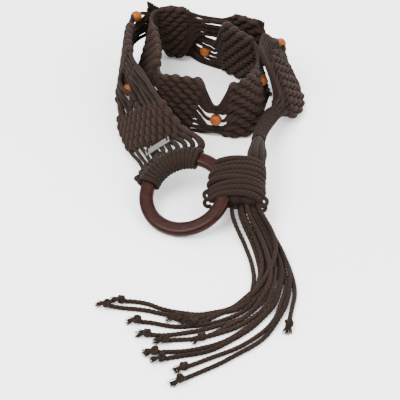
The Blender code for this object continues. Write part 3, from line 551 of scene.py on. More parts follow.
def cord_piece(name, tubes, material, replaced=()):
    verts, loops, totals, places, tones = [], [], [], [], []
    base = 0
    for tube in tubes:
        count, sides = tube.rings.shape[:2]
        verts.append(tube.rings.reshape(-1, 3))
        tones.append(np.repeat(np.broadcast_to(tube.tone, (count,)), sides))
        steps = np.arange(count if tube.closed else count - 1)
        r, c = np.meshgrid(steps, np.arange(sides), indexing="ij")
        d, n = (c + 1) % sides, (r + 1) % count
        quads = np.stack([r * sides + c, r * sides + d, n * sides + d, n * sides + c], -1)
        loops.append(base + quads.ravel())
        far = np.append(tube.far, 2 * tube.far[-1] - tube.far[-2])
        here, ahead = far[r], far[r + 1]
        u0, u1 = c / sides, (c + 1) / sides
        places.append(np.stack([u0, here, u1, here, u1, ahead, u0, ahead], -1).reshape(-1, 2))
        totals.append(np.full(r.size, 4))
        if not tube.closed:
            for cap in (np.arange(sides)[::-1], np.arange(sides) + (count - 1) * sides):
                loops.append(base + cap)
                places.append(np.tile([[0.5, 0.0]], (sides, 1)))
                totals.append(np.array([sides]))
        base += count * sides
    verts = np.concatenate(verts) + OFFSET
    loops, totals = np.concatenate(loops), np.concatenate(totals)
    assert np.isfinite(verts).all(), name
    mesh = bpy.data.meshes.new(name)
    mesh.vertices.add(len(verts))
    mesh.vertices.foreach_set("co", verts.ravel())
    mesh.loops.add(len(loops))
    mesh.loops.foreach_set("vertex_index", loops.astype(np.int32))
    mesh.polygons.add(len(totals))
    mesh.polygons.foreach_set("loop_start", (np.cumsum(totals) - totals).astype(np.int32))
    mesh.update(calc_edges=True)
    mesh.uv_layers.new(name="lay").data.foreach_set("uv", np.concatenate(places).ravel())
    mesh.attributes.new("tone", "FLOAT", "POINT").data.foreach_set("value", np.concatenate(tones))
    mesh.shade_smooth()
    mesh.materials.append(material)
    print(name, "has", len(tubes), "tubes and", int(np.sum(totals - 2)), "triangles")
    return dress(bpy.data.objects.new(name, mesh), replaced)

# %% [markdown]
# ## The band's cords
# Eleven cords run from the ring to the neck without a break. In a knotted field they pass over and
# under cross cords, so they show as rows of slanting oval bumps, laid like bricks. Between two
# fields they run loose, draw together and part round a bead, and the middle one goes through it.
# Each cord is one function of the running length, which gives all of this and keeps it continuous.

# %% Heights of the cords across the band
CORDS = 11
MIDDLE_CORD = CORDS // 2
CORD_RADIUS = 1.6 * MM
BUMP_LENGTH = 9.3 * MM
BUMP_HALF_WIDTH = 2.75 * MM
BUMP_HALF_THICKNESS = 3.8 * MM
FIELD_SLANT = 0.75 * MM
FIELD_BLEND = 4 * MM
STACK = 1.5 * MM
BEAD_GAP = 6.3 * MM
BEAD_REACH, EDGE_BEAD_REACH = 2.4 * BEAD_GAP, 4.0 * BEAD_GAP
shares = (np.arange(CORDS) + 0.5) / CORDS
rng = np.random.default_rng(7)


def cord_heights(s):
    """Height of every cord at the running lengths s, as a share of the band's width.

    The cords part round a bead, but a bead that stands out of the band has them all below it."""
    low, high = np.interp(s, S, low_fill), np.interp(s, S, high_fill)
    heights = low + (high - low) * shares[:, None]
    gap = BEAD_GAP / BAND_WIDTH
    for waist in WAISTS.values():
        if waist.bead is None:
            continue
        away = np.abs(s - run_at(waist.at))
        on_edge = waist.proud > 0
        reach = EDGE_BEAD_REACH if on_edge else BEAD_REACH
        part = 1 - ease((away - 0.6 * BEAD_GAP) / reach)
        for j in range(CORDS):
            if on_edge and j != MIDDLE_CORD:
                row = j - (j > MIDDLE_CORD)
                target = low + (waist.bead - gap - low) * (row + 0.5) / (CORDS - 1)
            elif j < MIDDLE_CORD:
                target = low + (waist.bead - gap - low) * (j + 0.5) / MIDDLE_CORD
            elif j > MIDDLE_CORD:
                target = high - (high - waist.bead - gap) * (CORDS - j - 0.5) / MIDDLE_CORD
            else:
                target = waist.bead
            heights[j] += (target - heights[j]) * part
    return heights


def surface(s, share, height, out):
    """A point of the band. Before its first section it runs from the hitches on the ring."""
    points = band_point(np.maximum(s, 0), height, out)
    before = s < 0
    if np.any(before):
        t = (1 + s[before] / END_FLOAT)[:, None]
        degrees = HITCH_TO + (HITCH_FROM - HITCH_TO) * np.broadcast_to(share, s.shape)[before]
        start = ring_point(degrees, HITCH_REACH, out[before])
        end = points[before]
        reach = np.linalg.norm(end - start, axis=1)[:, None]
        leave = unit(start - RING_CENTRE) * reach
        a, b = 2 * t**3 - 3 * t**2 + 1, t**3 - 2 * t**2 + t
        points[before] = start * a + leave * b + end * (1 - a) + along[0] * reach * (t**3 - t**2)
    return points


def panel_ends(panel):
    start = -END_FLOAT if panel.start == "ring_end" else run_at(WAISTS[panel.start].at)
    return start, run_at(WAISTS[panel.end].at)


def field_share(s, share):
    """1 in a knotted field and 0 among loose cords, at running lengths s and a share across."""
    total = 0 * s
    for panel in PANELS:
        start, end = panel_ends(panel)
        before = panel.start_low + (panel.start_high - panel.start_low) * share
        after = panel.end_low + (panel.end_high - panel.end_low) * share
        into = ease((s - start - before * BAND_WIDTH) / FIELD_BLEND + 0.5)
        total = total + into * ease((end - s - after * BAND_WIDTH) / FIELD_BLEND + 0.5)
    return total


def drift(s, size, length):
    """A slow seeded wander, so that no cord is a ruled line."""
    phase = rng.uniform(0, math.tau, 3)
    waves = [np.sin(s / length * k + p) / k for k, p in zip((1.0, 1.9, 3.1), phase)]
    return size * sum(waves)

# %% Routes of the eleven cords
HITCH_REACH = RING_RADIUS + 4.0 * MM
CORD_STEP = 0.9 * MM
PLUMP, PLUMP_END, PLUMP_FROM = 0.55 * MM, 8 * MM, 3
# Painted light on each knotted bump and painted shade at each joint between bumps, added to the
# cords' tone.
BUMP_PAINTED_LIGHT, JOINT_PAINTED_SHADE = 1.25, -0.35
route_s = np.arange(-END_FLOAT, BAND_LENGTH - 0.3 * MM, CORD_STEP)
heights = cord_heights(route_s)
spacing = np.diff(heights, axis=0) * BAND_WIDTH
pitch = np.minimum(np.vstack([spacing[:1], spacing]), np.vstack([spacing, spacing[-1:]]))
crowd = ease((2.1 * CORD_RADIUS - pitch) / (1.4 * CORD_RADIUS))
knotted = [field_share(route_s, share) for share in shares]
proud = 0 * route_s
for waist in WAISTS.values():
    near_bead = 1 - ease((np.abs(route_s - run_at(waist.at)) - BEAD_GAP) / (1.5 * BEAD_GAP))
    proud = proud + waist.proud * 2 * BEAD_RADIUS * near_bead
band_routes, band_radii, band_thick, band_painted_shading = [], [], [], []
for j in range(CORDS):
    place = np.mod(route_s / BUMP_LENGTH + 0.5 * (j % 2), 1.0)
    field = knotted[j]
    loose = 1 - field
    out = (-1.0, 1.0, 0.0)[j % 3] * STACK * crowd[j] * loose
    out = out + drift(route_s, 0.35 * MM, 9 * MM) * loose
    if j == MIDDLE_CORD:
        out = out + proud
    height = heights[j] - FIELD_SLANT * np.sin(math.tau * place) * field / BAND_WIDTH
    height = height + drift(route_s, 0.4 * MM, 11 * MM) * loose / BAND_WIDTH
    route = surface(route_s, shares[j], height, out)
    swell = np.sin(math.pi * place) ** 0.6 * field
    plump = PLUMP * loose * (route_s < PLUMP_END) * (j >= PLUMP_FROM)
    wide = np.clip(0.56 * pitch[j], 1.2 * CORD_RADIUS, BUMP_HALF_WIDTH)
    joint = CORD_RADIUS * (1 - 0.15 * field)
    # The tone is painted lighter on each bump and darker at each joint, as painted light and shade.
    band_painted_shading.append(field * (BUMP_PAINTED_LIGHT * swell + JOINT_PAINTED_SHADE))
    band_radii.append(joint + plump + (wide - joint) * swell)
    band_thick.append(joint + (BUMP_HALF_THICKNESS - joint) * swell)
    route[:, 2] = np.maximum(route[:, 2], band_radii[-1])
    band_routes.append(route)
band_facing = read(out_dir, np.maximum(route_s, 0))
before_band = np.clip(-route_s / END_FLOAT, 0, 1)[:, None]
band_facing = unit(band_facing * (1 - before_band) + RING_AXIS * before_band)
print("points along each cord:", len(route_s))

# %% [markdown]
# ## The knot's place
# The neck and the tassel both meet the big knot, so its directions come first. The knot's cords
# leave it towards the front and down to the table.

# %% Directions of the knot
KNOT_WIDTH, KNOT_DEPTH = 43 * MM, 29 * MM
KNOT_TURNS = 8
KNOT_LENGTH = KNOT_TURNS * 4.7 * MM
KNOT_ON_RING = 42.0
KNOT_HEADING, KNOT_DIP = math.radians(-96), math.radians(24)
KNOT_FORWARD = np.array([math.cos(KNOT_HEADING), math.sin(KNOT_HEADING), 0])
KNOT_AXIS = KNOT_FORWARD * math.cos(KNOT_DIP) - UP * math.sin(KNOT_DIP)
KNOT_SIDE = unit(np.cross(UP, KNOT_AXIS))
KNOT_UP = np.cross(KNOT_AXIS, KNOT_SIDE)
bar = ring_point(KNOT_ON_RING, RING_RADIUS - RING_FACE / 2)
KNOT_CENTRE = bar + KNOT_SIDE * (0.24 * KNOT_WIDTH) - KNOT_UP * (0.13 * KNOT_DEPTH)
print("knot centre in mm:", ((KNOT_CENTRE + OFFSET) / MM).round(1))

# %% [markdown]
# ## The neck
# After the last waist the cords gather into a round bundle. Its first half is whipped with a cord
# wound tightly round it, and its second half opens into the back of the knot. The bundle follows a
# Bezier curve, and the same eleven cords take places in its round section.

# %% Route of the neck
NECK_TIGHT = 4.6 * MM
NECK_GATHER, NECK_FLARE = 0.22, 0.42
NECK_CLEAR = 0.6 * MM
NECK_STEPS = 90


def bezier(p0, p1, p2, p3, t):
    t = t[:, None]
    u = 1 - t
    return p0 * u**3 + p1 * (3 * u * u * t) + p2 * (3 * u * t * t) + p3 * t**3


def neck_radius(share):
    """Radius of the bundle, which gathers in its first half and flares before the knot."""
    gathered = 1 - NECK_GATHER * ease(share / 0.5)
    return NECK_TIGHT * (gathered + NECK_FLARE * ease((share - 0.62) / 0.30))


last = WAISTS["neck_end"]
neck_start = band_point(BAND_LENGTH, (last.low + last.high) / 2) + along[-1] * NECK_CLEAR
neck_room = neck_radius(1.0) * math.sin(KNOT_DIP) + NECK_CLEAR
neck_end = KNOT_CENTRE - KNOT_AXIS * (KNOT_LENGTH / 2 + neck_room)
neck_end = neck_end + KNOT_SIDE * (0.30 * KNOT_WIDTH)
reach = np.linalg.norm(neck_end - neck_start)
leave = neck_start + along[-1] * (0.38 * reach) - UP * (0.03 * reach)
arrive = neck_end - KNOT_FORWARD * (0.30 * reach)
neck_share = np.linspace(0, 1, NECK_STEPS + 1)
neck = bezier(neck_start, leave, arrive, neck_end, neck_share)
neck_along = unit(np.gradient(neck, axis=0))
neck_side = unit(np.cross(neck_along, UP))
neck_top = np.cross(neck_side, neck_along)
neck_far = np.concatenate([[0], np.cumsum(np.linalg.norm(np.diff(neck, axis=0), axis=1))])
print("neck length in mm:", (neck_far[-1] / MM).round(1))

# %% Cords through the neck and into the knot
OUTER, RIM, HEART = 8, 0.70, 0.28
INNER = CORDS - OUTER
KNOT_POINTS = 6
spots = [(RIM, k / OUTER * math.tau) for k in range(OUTER)]
spots += [(HEART, k / INNER * math.tau) for k in range(INNER)]
spots = sorted([(r * math.cos(a), r * math.sin(a)) for r, a in spots], key=lambda spot: spot[1])
settle = ease(neck_share / 0.10)[:, None]
opened = ease((neck_share - 0.5) / 0.2)
width = (neck_radius(neck_share) * (0.86 + 0.50 * ease((neck_share - 0.52) / 0.2)))[:, None]
thin = CORD_RADIUS * (1 - 0.2 * ease(neck_share[1:] / 0.1) + 0.65 * opened[1:])
thin = np.concatenate([thin, np.full(KNOT_POINTS, thin[-1])])
full_routes, full_radii, full_thick = [], [], []
for j, (x, y) in enumerate(spots):
    in_bundle = neck_side * (x * width) + neck_top * (y * width)
    at_band = band_routes[j][-1] - neck_start
    wander = (drift(neck_far, 0.5 * MM, 12 * MM) * opened)[:, None]
    run = neck + at_band * (1 - settle) + in_bundle * settle + neck_side * wander
    inside = run[-1] + KNOT_AXIS * np.linspace(2, 12, KNOT_POINTS)[:, None] * MM
    full_routes.append(np.vstack([band_routes[j], run[1:], inside]))
    full_radii.append(np.concatenate([band_radii[j], thin]))
    full_thick.append(np.concatenate([band_thick[j], thin]))
neck_facing = out_dir[-1] * (1 - settle) + neck_top * settle
knot_facing = np.tile(neck_top[-1], (KNOT_POINTS, 1))
full_facing = np.vstack([band_facing, neck_facing[1:], knot_facing])

# %% Cross cords, which the long cords are knotted over
WEFT_RADIUS = 1.35 * MM
WEFT_STEP = BUMP_LENGTH / 4
WEFT_POINTS = 26
WEFT_LEAST = 12


def field_cords(panel):
    """The cross cords of one panel, as wide as its knotted field is at each."""
    start, end = panel_ends(panel)
    share = np.linspace(0.0, 1.0, 101)
    edge = WEFT_RADIUS / BAND_WIDTH
    tubes = []
    for k in range(math.ceil(start / WEFT_STEP), math.floor(end / WEFT_STEP)):
        s = np.full(WEFT_POINTS, k * WEFT_STEP)
        inside = share[field_share(s[0], share) > 0.55]
        if len(inside) < WEFT_LEAST:
            continue
        at = np.linspace(inside[0], inside[-1], WEFT_POINTS)
        low, high = np.interp(s, S, low_fill), np.interp(s, S, high_fill)
        height = low + edge + (high - low - 1.2 * edge) * at
        under = 0.9 * MM * np.cos(math.pi * np.interp(at, shares, np.arange(CORDS)))
        points = surface(s, at, height, under)
        # The cross cords get darker tones than the long cords, as painted shade between the bumps.
        tubes.append(sweep(points, WEFT_RADIUS, tone=rng.uniform(0, 0.35), sides=6))
    return tubes

# %% The eleven cords as tubes
count = len(route_s)
tones = rng.uniform(0.2, 0.9, CORDS)
belt = []
for j in range(CORDS):
    tone = np.full(len(full_radii[j]), tones[j])
    # In the knotted fields the random tones are drawn together, and the painted light and shade of
    # the bumps is added.
    tone[:count] += (band_painted_shading[j] - (tones[j] - 0.5) * 0.6) * knotted[j]
    shape = {"thick": full_thick[j], "facing": full_facing, "tone": tone, "sides": 12}
    belt.append(sweep(full_routes[j], full_radii[j], **shape))
print("points of a whole cord:", len(full_facing))

# %% [markdown]
# ## Loose cords on top
# In three places more cords lie loose on the band: along the upper edge of the first panel, over
# the first bead, and rising in a fan from the upper edge of the last panel. Each one follows the
# band's surface at a height of its own and wanders a little.

# %% Loose cords of the first and last panels
def loose_cord(s, share, height, over, sway, lift, palest=0.9):
    """One cord on the band. sway and lift are its wanders across the band and out of it."""
    height = height + drift(s, *sway) / BAND_WIDTH
    points = surface(s, share, height, over + drift(s, *lift))
    return sweep(points, CORD_RADIUS, tone=rng.uniform(0.2, palest))


first_extra, last_extra = [], []
waist = WAISTS["left_wall"]
bead_s = run_at(waist.at)
s = route_s[route_s < bead_s - BEAD_GAP]
for share in (0.78, 0.865, 0.955, 0.995):
    height = np.array([np.interp(share, shares, heights[:, k]) for k in range(len(s))])
    wanders = (0.5 * MM, 13 * MM), (0.5 * MM, 10 * MM)
    first_extra.append(loose_cord(s, share, height, 1.2 * MM, *wanders))
s = np.arange(bead_s - 26 * MM, bead_s + 24 * MM, CORD_STEP)
close = 1 - ease((np.abs(s - bead_s) - 4 * MM) / (18 * MM))
for aside in (-0.11, -0.05, 0.01, 0.07):
    height = waist.bead + aside * (2.0 - close)
    over = (1.5 + 3.6 * close) * MM
    wanders = (0.4 * MM, 10 * MM), (0.3 * MM, 9 * MM)
    first_extra.append(loose_cord(s, waist.bead, height, over, *wanders, palest=0.8))
start, end = panel_ends(PANELS[-1])
s = route_s[(route_s > start + BEAD_GAP) & (route_s < end)]
taper = ease((s - s[0]) / (20 * MM)) * ease((s[-1] - s) / (22 * MM))
for above in (0.04, 0.09, 0.14, 0.19, 0.235, 0.28):
    height = np.interp(s, S, high_fill) - 0.03 + above * taper
    wanders = (0.4 * MM, 14 * MM), (0.4 * MM, 11 * MM)
    last_extra.append(loose_cord(s, 1.0, height, -1.0 * MM, *wanders))

# %% Build the ten panels and the neck
extras = {1: first_extra, len(PANELS): last_extra}
for number, panel in enumerate(PANELS, start=1):
    start, end = panel_ends(panel)
    first, final = np.searchsorted(route_s, [start, end])
    first, final = max(first - 1, 0), min(final, count - 1)
    tubes = [stretch_of(tube, first, final) for tube in belt] + field_cords(panel)
    tubes += extras.get(number, [])
    name = f"panel_cords_{number:02d}"
    cord_piece(name, tubes, BELT_CORD, [f"band_panel_{number:02d}"])
ends = [stretch_of(tube, count - 1, len(tube.rings) - 1) for tube in belt]
cord_piece("neck_bundle", ends, BELT_CORD, ["neck_cords"])

# %% [markdown]
# ## Whipping and overhand knots
# The whipping is one cord wound round the bundle, side by side. An overhand knot is a small trefoil
# of the same cord, which looks right from every side and costs little.

# %% Whipping round the neck
WHIP_PITCH = 2.3 * MM
WHIP_START, WHIP_END = 5 * MM, 55.6 * MM
WHIP_RADIUS = 1.2 * MM


def trefoil(middle, axis, width, radius, stretch=2.2, turn=0.0, tone=0.5, sides=10):
    """A tight overhand knot round a cord that runs along axis."""
    axis = unit(np.asarray(axis, float))
    side = square_to(axis)
    top = np.cross(side, axis)
    t = np.linspace(0, math.tau, 54, endpoint=False)[:, None]
    size = (width / 2 - radius) / 3
    x, y, z = np.sin(t) + 2 * np.sin(2 * t), np.cos(t) - 2 * np.cos(2 * t), -stretch * np.sin(3 * t)
    turned = side * (x * math.cos(turn) - y * math.sin(turn))
    turned = turned + top * (x * math.sin(turn) + y * math.cos(turn))
    return sweep(middle + size * (turned + axis * z), radius, closed=True, tone=tone, sides=sides)


turn_steps = 30
whip_far = np.arange(WHIP_START, WHIP_END, WHIP_PITCH / turn_steps)
whip_share = np.interp(whip_far, neck_far, neck_share)
whip_turn = (whip_far / WHIP_PITCH * math.tau)[:, None]
centre, beside, above = (read(part, whip_far, neck_far) for part in (neck, neck_side, neck_top))
whip_reach = (neck_radius(whip_share) + 1.0 * MM)[:, None]
whip = centre + (beside * np.cos(whip_turn) + above * np.sin(whip_turn)) * whip_reach
whip_tubes = [sweep(whip, WHIP_RADIUS, tone=0.45, sides=8)]
cord_piece("neck_whipping", whip_tubes, WOUND_CORD, ["neck_wrap"])

# %% [markdown]
# ## The ring and its hitches
# The ring is turned wood with a flattened, rounded section and a dark polish. The band's first end
# is tied to it with hitches: each cord passes round the bar, comes back and is locked by a short
# bar of its own on the outer side. Here one cord is wound round the bar and the locks lie on it.

# %% Sections and the ring
def rounded(width, height, radius, count):
    """Evenly spaced points of a rounded rectangle, counter-clockwise."""
    corner = []
    for quarter, (sx, sy) in enumerate([(1, 1), (-1, 1), (-1, -1), (1, -1)]):
        for step in range(9):
            angle = math.pi / 2 * (quarter + step / 8)
            x = sx * (width / 2 - radius) + radius * math.cos(angle)
            y = sy * (height / 2 - radius) + radius * math.sin(angle)
            corner.append((x, y))
    corner = np.array(corner + corner[:1])
    run = np.concatenate([[0], np.cumsum(np.linalg.norm(np.diff(corner, axis=0), axis=1))])
    at = np.linspace(0, run[-1], count, endpoint=False)
    return np.stack([np.interp(at, run, corner[:, k]) for k in range(2)], axis=1)


RING_SIDES, RING_STEPS = 32, 160
BAR_RADIUS = RING_RADIUS - RING_FACE / 2
section = rounded(RING_FACE, RING_THICKNESS, RING_EDGE, RING_SIDES)
turns = np.arange(RING_STEPS) / RING_STEPS * 360
out_from_middle = BAR_RADIUS + section[:, 0]
rings = np.array([ring_point(a, out_from_middle, section[:, 1]) for a in turns])
ring_tube = Tube(rings[:, ::-1], turns / 360 * math.tau * BAR_RADIUS, True, 0.5)

# %% Hitches round the bar
HITCH_WRAPS = 14
wrap_steps = 30
loop = rounded(RING_FACE + 3.2 * MM, RING_THICKNESS + 3.2 * MM, RING_EDGE + 1.6 * MM, wrap_steps)
index = np.arange(HITCH_WRAPS * wrap_steps + 1)
degrees = HITCH_FROM + 1.5 + (HITCH_TO - HITCH_FROM - 3) * index / index[-1]
x, y = loop[index % wrap_steps].T
wraps = ring_point(degrees, BAR_RADIUS + x, y)
wrap_radii = 1.75 * MM + 0.25 * MM * x / x.max()
hitch_tubes = [sweep(wraps, wrap_radii, tone=0.5)]
LOCK_HALF, LOCK_POINTS = 4.2, 13
lean_over = np.linspace(-LOCK_HALF, LOCK_HALF, LOCK_POINTS)
lock_reach = RING_RADIUS + 1.2 * MM + 3.0 * MM * np.cos(lean_over / LOCK_HALF * math.pi / 2)
lock_lift = np.linspace(-1.5, 1.5, LOCK_POINTS) * MM
for share in shares:
    place = HITCH_TO + (HITCH_FROM - HITCH_TO) * share + lean_over
    lock = ring_point(place, lock_reach, lock_lift)
    hitch_tubes.append(sweep(lock, 1.6 * MM, tone=rng.uniform(0.3, 0.7), sides=8))
cord_piece("hitch_wraps", hitch_tubes, WOUND_CORD, ["ring_hitches"])

# %% [markdown]
# ## The big knot
# The knot is a wrapping of thick cord, eight turns side by side, that covers the ring's bar and the
# ends of the neck. The turns are one helix on a rounded, flattened outline. A core of the same cord
# fills the inside, so that no light shows between two turns; its tone is dark, as painted shade.

# %% Wind the knot
KNOT_CORD = 2.35 * MM
KNOT_CORE = 8 * MM
THINNEST, THICKEST, SLOPE, ARCH = -0.05, 0.03, 0.08, 3.6 * MM
knot_steps = 44
index = np.arange(KNOT_TURNS * knot_steps + 1)
angle = math.tau * index / knot_steps + math.pi
share = index / index[-1]
cosine, sine = np.cos(angle), np.sin(angle)
fullness = np.where(sine < 0, 0.68 + 0.30 * ease((cosine + 1) / 1.5), 0.86 + 0.14 * cosine)
turn_number = index / knot_steps
every_turn = np.arange(KNOT_TURNS + 1)
uneven = 1 + np.interp(turn_number, every_turn, rng.uniform(THINNEST, THICKEST, KNOT_TURNS + 1))
slope = np.interp(turn_number, every_turn, rng.uniform(-SLOPE, SLOPE, KNOT_TURNS + 1))
bulge = (1 - 0.10 * (2 * share - 1) ** 4) * uneven
x = (1.06 * KNOT_WIDTH / 2 * bulge - KNOT_CORD) * cosine
y = (1.1 * KNOT_DEPTH / 2 * bulge * fullness - KNOT_CORD) * sine
z = (KNOT_LENGTH - 2 * KNOT_CORD) * (share - 0.5) + slope * x - ARCH * np.maximum(sine, 0)
knot_route = KNOT_CENTRE + KNOT_SIDE * x[:, None] + KNOT_UP * y[:, None] + KNOT_AXIS * z[:, None]
knot_tubes = [sweep(knot_route, KNOT_CORD, tone=0.5, sides=12)]
# The core gets a dark tone, as painted shade in the gaps between the turns.
core = KNOT_CENTRE + KNOT_AXIS * np.linspace(-0.46, 0.46, 9)[:, None] * KNOT_LENGTH
for aside in (-0.2, 0.0, 0.2):
    beside = core + KNOT_SIDE * aside * KNOT_WIDTH
    knot_tubes.append(sweep(beside, KNOT_CORE, tone=0.1, sides=12))
bend = np.linspace(-2.4, 2.4, 26)[:, None]
# Small loops stand out at the knot's sides. Each has its side, its place and its radius in mm.
LOOPS = ((-1, 11.5, 1.5, 3.6), (-1, 16.5, -2.0, 3.0), (1, 14.0, 1.0, 3.6), (1, 17.5, -2.0, 2.8))
for way, far, up, size in LOOPS:
    root = KNOT_CENTRE + KNOT_SIDE * way * (KNOT_WIDTH / 2 - 1 * MM)
    root = root + (KNOT_AXIS * far + KNOT_UP * up) * MM
    loop = root + (KNOT_SIDE * way * np.cos(bend) + KNOT_AXIS * np.sin(bend)) * size * MM
    knot_tubes.append(sweep(loop, 1.65 * MM, tone=rng.uniform(0.3, 0.7)))
cord_piece("knot_turns", knot_tubes, WOUND_CORD, ["ring_knot"])

# %% [markdown]
# ## The tassel
# Fourteen laid cords leave the knot's front, fall to the table and sweep away to the left. Each
# ends in an overhand knot and a frayed tip. A route is a sweep on the table plus a sideways offset
# that changes along it, both from short tables.

# %% Routes of the tassel's cords
TASSEL_DIAMETER = 3.3 * MM
TASSEL_LENGTH = 207 * MM
HEAD_DEPTH = 11 * MM
TASSEL_LEAN = 1.2
TASSEL_DROP = 0.20
SWEEP_STEPS = 200
head = KNOT_CENTRE + KNOT_AXIS * (KNOT_LENGTH / 2) + KNOT_SIDE * (0.20 * KNOT_WIDTH)
head_lift = head[2] - TASSEL_DIAMETER / 2


def heading_at(share):
    return np.radians(np.interp(share, [h.share for h in SWEEP], [h.degrees for h in SWEEP]))


sweep_heading = heading_at((np.arange(int(SWEEP_STEPS * 1.3)) + 0.5) / SWEEP_STEPS)
sweep_moves = np.stack([np.cos(sweep_heading), np.sin(sweep_heading), 0 * sweep_heading], axis=1)
sweep_points = (head - KNOT_FORWARD * (head_lift * TASSEL_LEAN)) * np.array([1, 1, 0])
moved = np.cumsum(sweep_moves, axis=0) * (TASSEL_LENGTH / SWEEP_STEPS)
sweep_points = np.vstack([sweep_points, sweep_points + moved])


def strand_route(strand, share):
    """Middle of a tassel cord at shares of the sweep."""
    columns = [strand.head, strand.quarter, strand.half, strand.late, strand.end]
    offset = smooth(columns, share * 4) * TASSEL_DIAMETER
    heading = heading_at(share)
    outer = np.stack([-np.sin(heading), np.cos(heading), 0 * heading], axis=1)
    layer = strand.layer * (1 - ease((share - 0.30) / 0.35)) * 0.9 * TASSEL_DIAMETER
    drop = 1 - ease(share / TASSEL_DROP)
    lift = (head_lift + (strand.layer - 1) * HEAD_DEPTH / 4 - layer) * drop
    flat = read(sweep_points, share * SWEEP_STEPS, np.arange(len(sweep_points)))
    points = flat + outer * offset[:, None] + KNOT_FORWARD * (lift * TASSEL_LEAN)[:, None]
    points[:, 2] = TASSEL_DIAMETER / 2 + layer + lift
    return points, outer

# %% Cords, end knots and frayed tips
STRAND_STEP = 1.1 * MM
KNOB = 3.6 * MM
FIBRES, FIBRE_POINTS = 26, 7
fibre_radii = np.linspace(0.42, 0.22, FIBRE_POINTS) * MM
tassel_tubes = []
for number, strand in enumerate(STRANDS):
    steps = int(strand.stop * TASSEL_LENGTH / STRAND_STEP)
    share = np.linspace(0.0, strand.stop, steps)
    points, outer = strand_route(strand, share)
    loose = ease((share - 0.25) / 0.25)
    points = points + outer * (drift(share * TASSEL_LENGTH, 0.9 * MM, 16 * MM) * loose)[:, None]
    inside = points[0] - KNOT_AXIS * np.linspace(9, 1.5, 6)[:, None] * MM
    ahead = unit((points[-1] - points[-4]) * np.array([1, 1, 0]))
    knob_at = points[-1] + ahead * 0.9 * KNOB + UP * (KNOB - TASSEL_DIAMETER / 2)
    end = points[-1] + (knob_at - points[-1]) * np.linspace(0.2, 1.0, 4)[:, None]
    tone = rng.uniform(0.2, 0.9)
    route = np.vstack([inside, points, end])
    tassel_tubes.append(sweep(route, TASSEL_DIAMETER / 2, plies=3, depth=0.13, tone=tone, sides=12))
    turn = rng.uniform(0, math.tau)
    tassel_tubes.append(trefoil(knob_at, ahead, 2 * KNOB, 1.45 * MM, 2.1, turn, tone))
    aside = np.cross(UP, ahead)
    for _ in range(FIBRES):
        spread, height = rng.uniform(-1, 1), rng.uniform(0, 1)
        length = rng.uniform(4.0, 7.0) * MM
        t = np.linspace(0, 1, FIBRE_POINTS)[:, None]
        start = knob_at + ahead * 0.6 * KNOB + aside * spread * 0.9 * MM
        start = start + UP * (height - 0.5) * 1.6 * MM
        tip = start + ahead * length + aside * spread * 2.6 * MM
        tip[2] = 0.5 * MM + height * 2.0 * MM
        bow = aside * rng.uniform(-0.8, 0.8) * MM
        fray = start * (1 - t) + tip * t + bow * np.sin(t * math.pi)
        tassel_tubes.append(sweep(fray, fibre_radii, tone=rng.uniform(0.3, 1), sides=5))
cord_piece("tassel_cords", tassel_tubes, ROPE_CORD, ["tassel"])

# %% [markdown]
# ## Wood and metal
# The ring is dark wood with a clear polish, and the beads are lighter wood. Grain is a stretched
# noise, darker in its pores. The tag is plain brushed metal with fine scratches along it.

# %% Wood and metal finishes
def wood_paint(name, light, dark, grain, roughness, coat):
    paint = Paint(name, Coat_Weight=coat, Coat_Roughness=0.12, Specular_IOR_Level=0.07)
    place = paint.node("ShaderNodeTexCoord", out=3)
    stretched = paint.node("ShaderNodeMapping", {}, {"Vector": place, "Scale": grain})
    streak, cloud = paint.noise(stretched, 160.0, 5.0), paint.noise(place, 60.0, 2.0)
    share = ((streak - 0.32) * 2.0 + (cloud - 0.5) * 0.5).clamped()
    paint.wear(Base_Color=paint.blend(share, dark, light), Roughness=roughness + streak * 0.18)
    paint.bump(streak, 0.12, 0.15 * MM)
    return paint.material


RING_LIGHT, RING_DARK = (0.022, 0.0036, 0.0014, 1), (0.008, 0.0013, 0.0006, 1)
BEAD_LIGHT, BEAD_DARK = (0.24, 0.074, 0.015, 1), (0.12, 0.029, 0.006, 1)
RING_WOOD = wood_paint("polished_dark_wood", RING_LIGHT, RING_DARK, (1, 1, 5), 0.22, 0.03)
BEAD_WOOD = wood_paint("orange_bead_wood", BEAD_LIGHT, BEAD_DARK, (1, 1, 4), 0.34, 0.04)


def metal_paint():
    paint = Paint("brushed_metal", Metallic=1.0)
    place = paint.node("ShaderNodeTexCoord", out=3)
    stretched = paint.node("ShaderNodeMapping", {}, {"Vector": place, "Scale": (1, 6, 1)})
    scratch = paint.noise(stretched, 900.0, 4.0)
    colour = paint.blend(scratch, (0.09, 0.09, 0.085, 1), (0.24, 0.24, 0.23, 1))
    paint.wear(Base_Color=colour, Roughness=0.22 + scratch * 0.2)
    return paint.material


METAL = metal_paint()
cord_piece("ring_of_wood", [ring_tube], RING_WOOD, ["wood_ring"])

# %% [markdown]
# ## Beads and tag
# A bead is a ball turned on its hole. The tag is a small bar held by two stitches. It lies along the
# model's own tag, turned a little towards the camera, since the photograph shows its whole face.

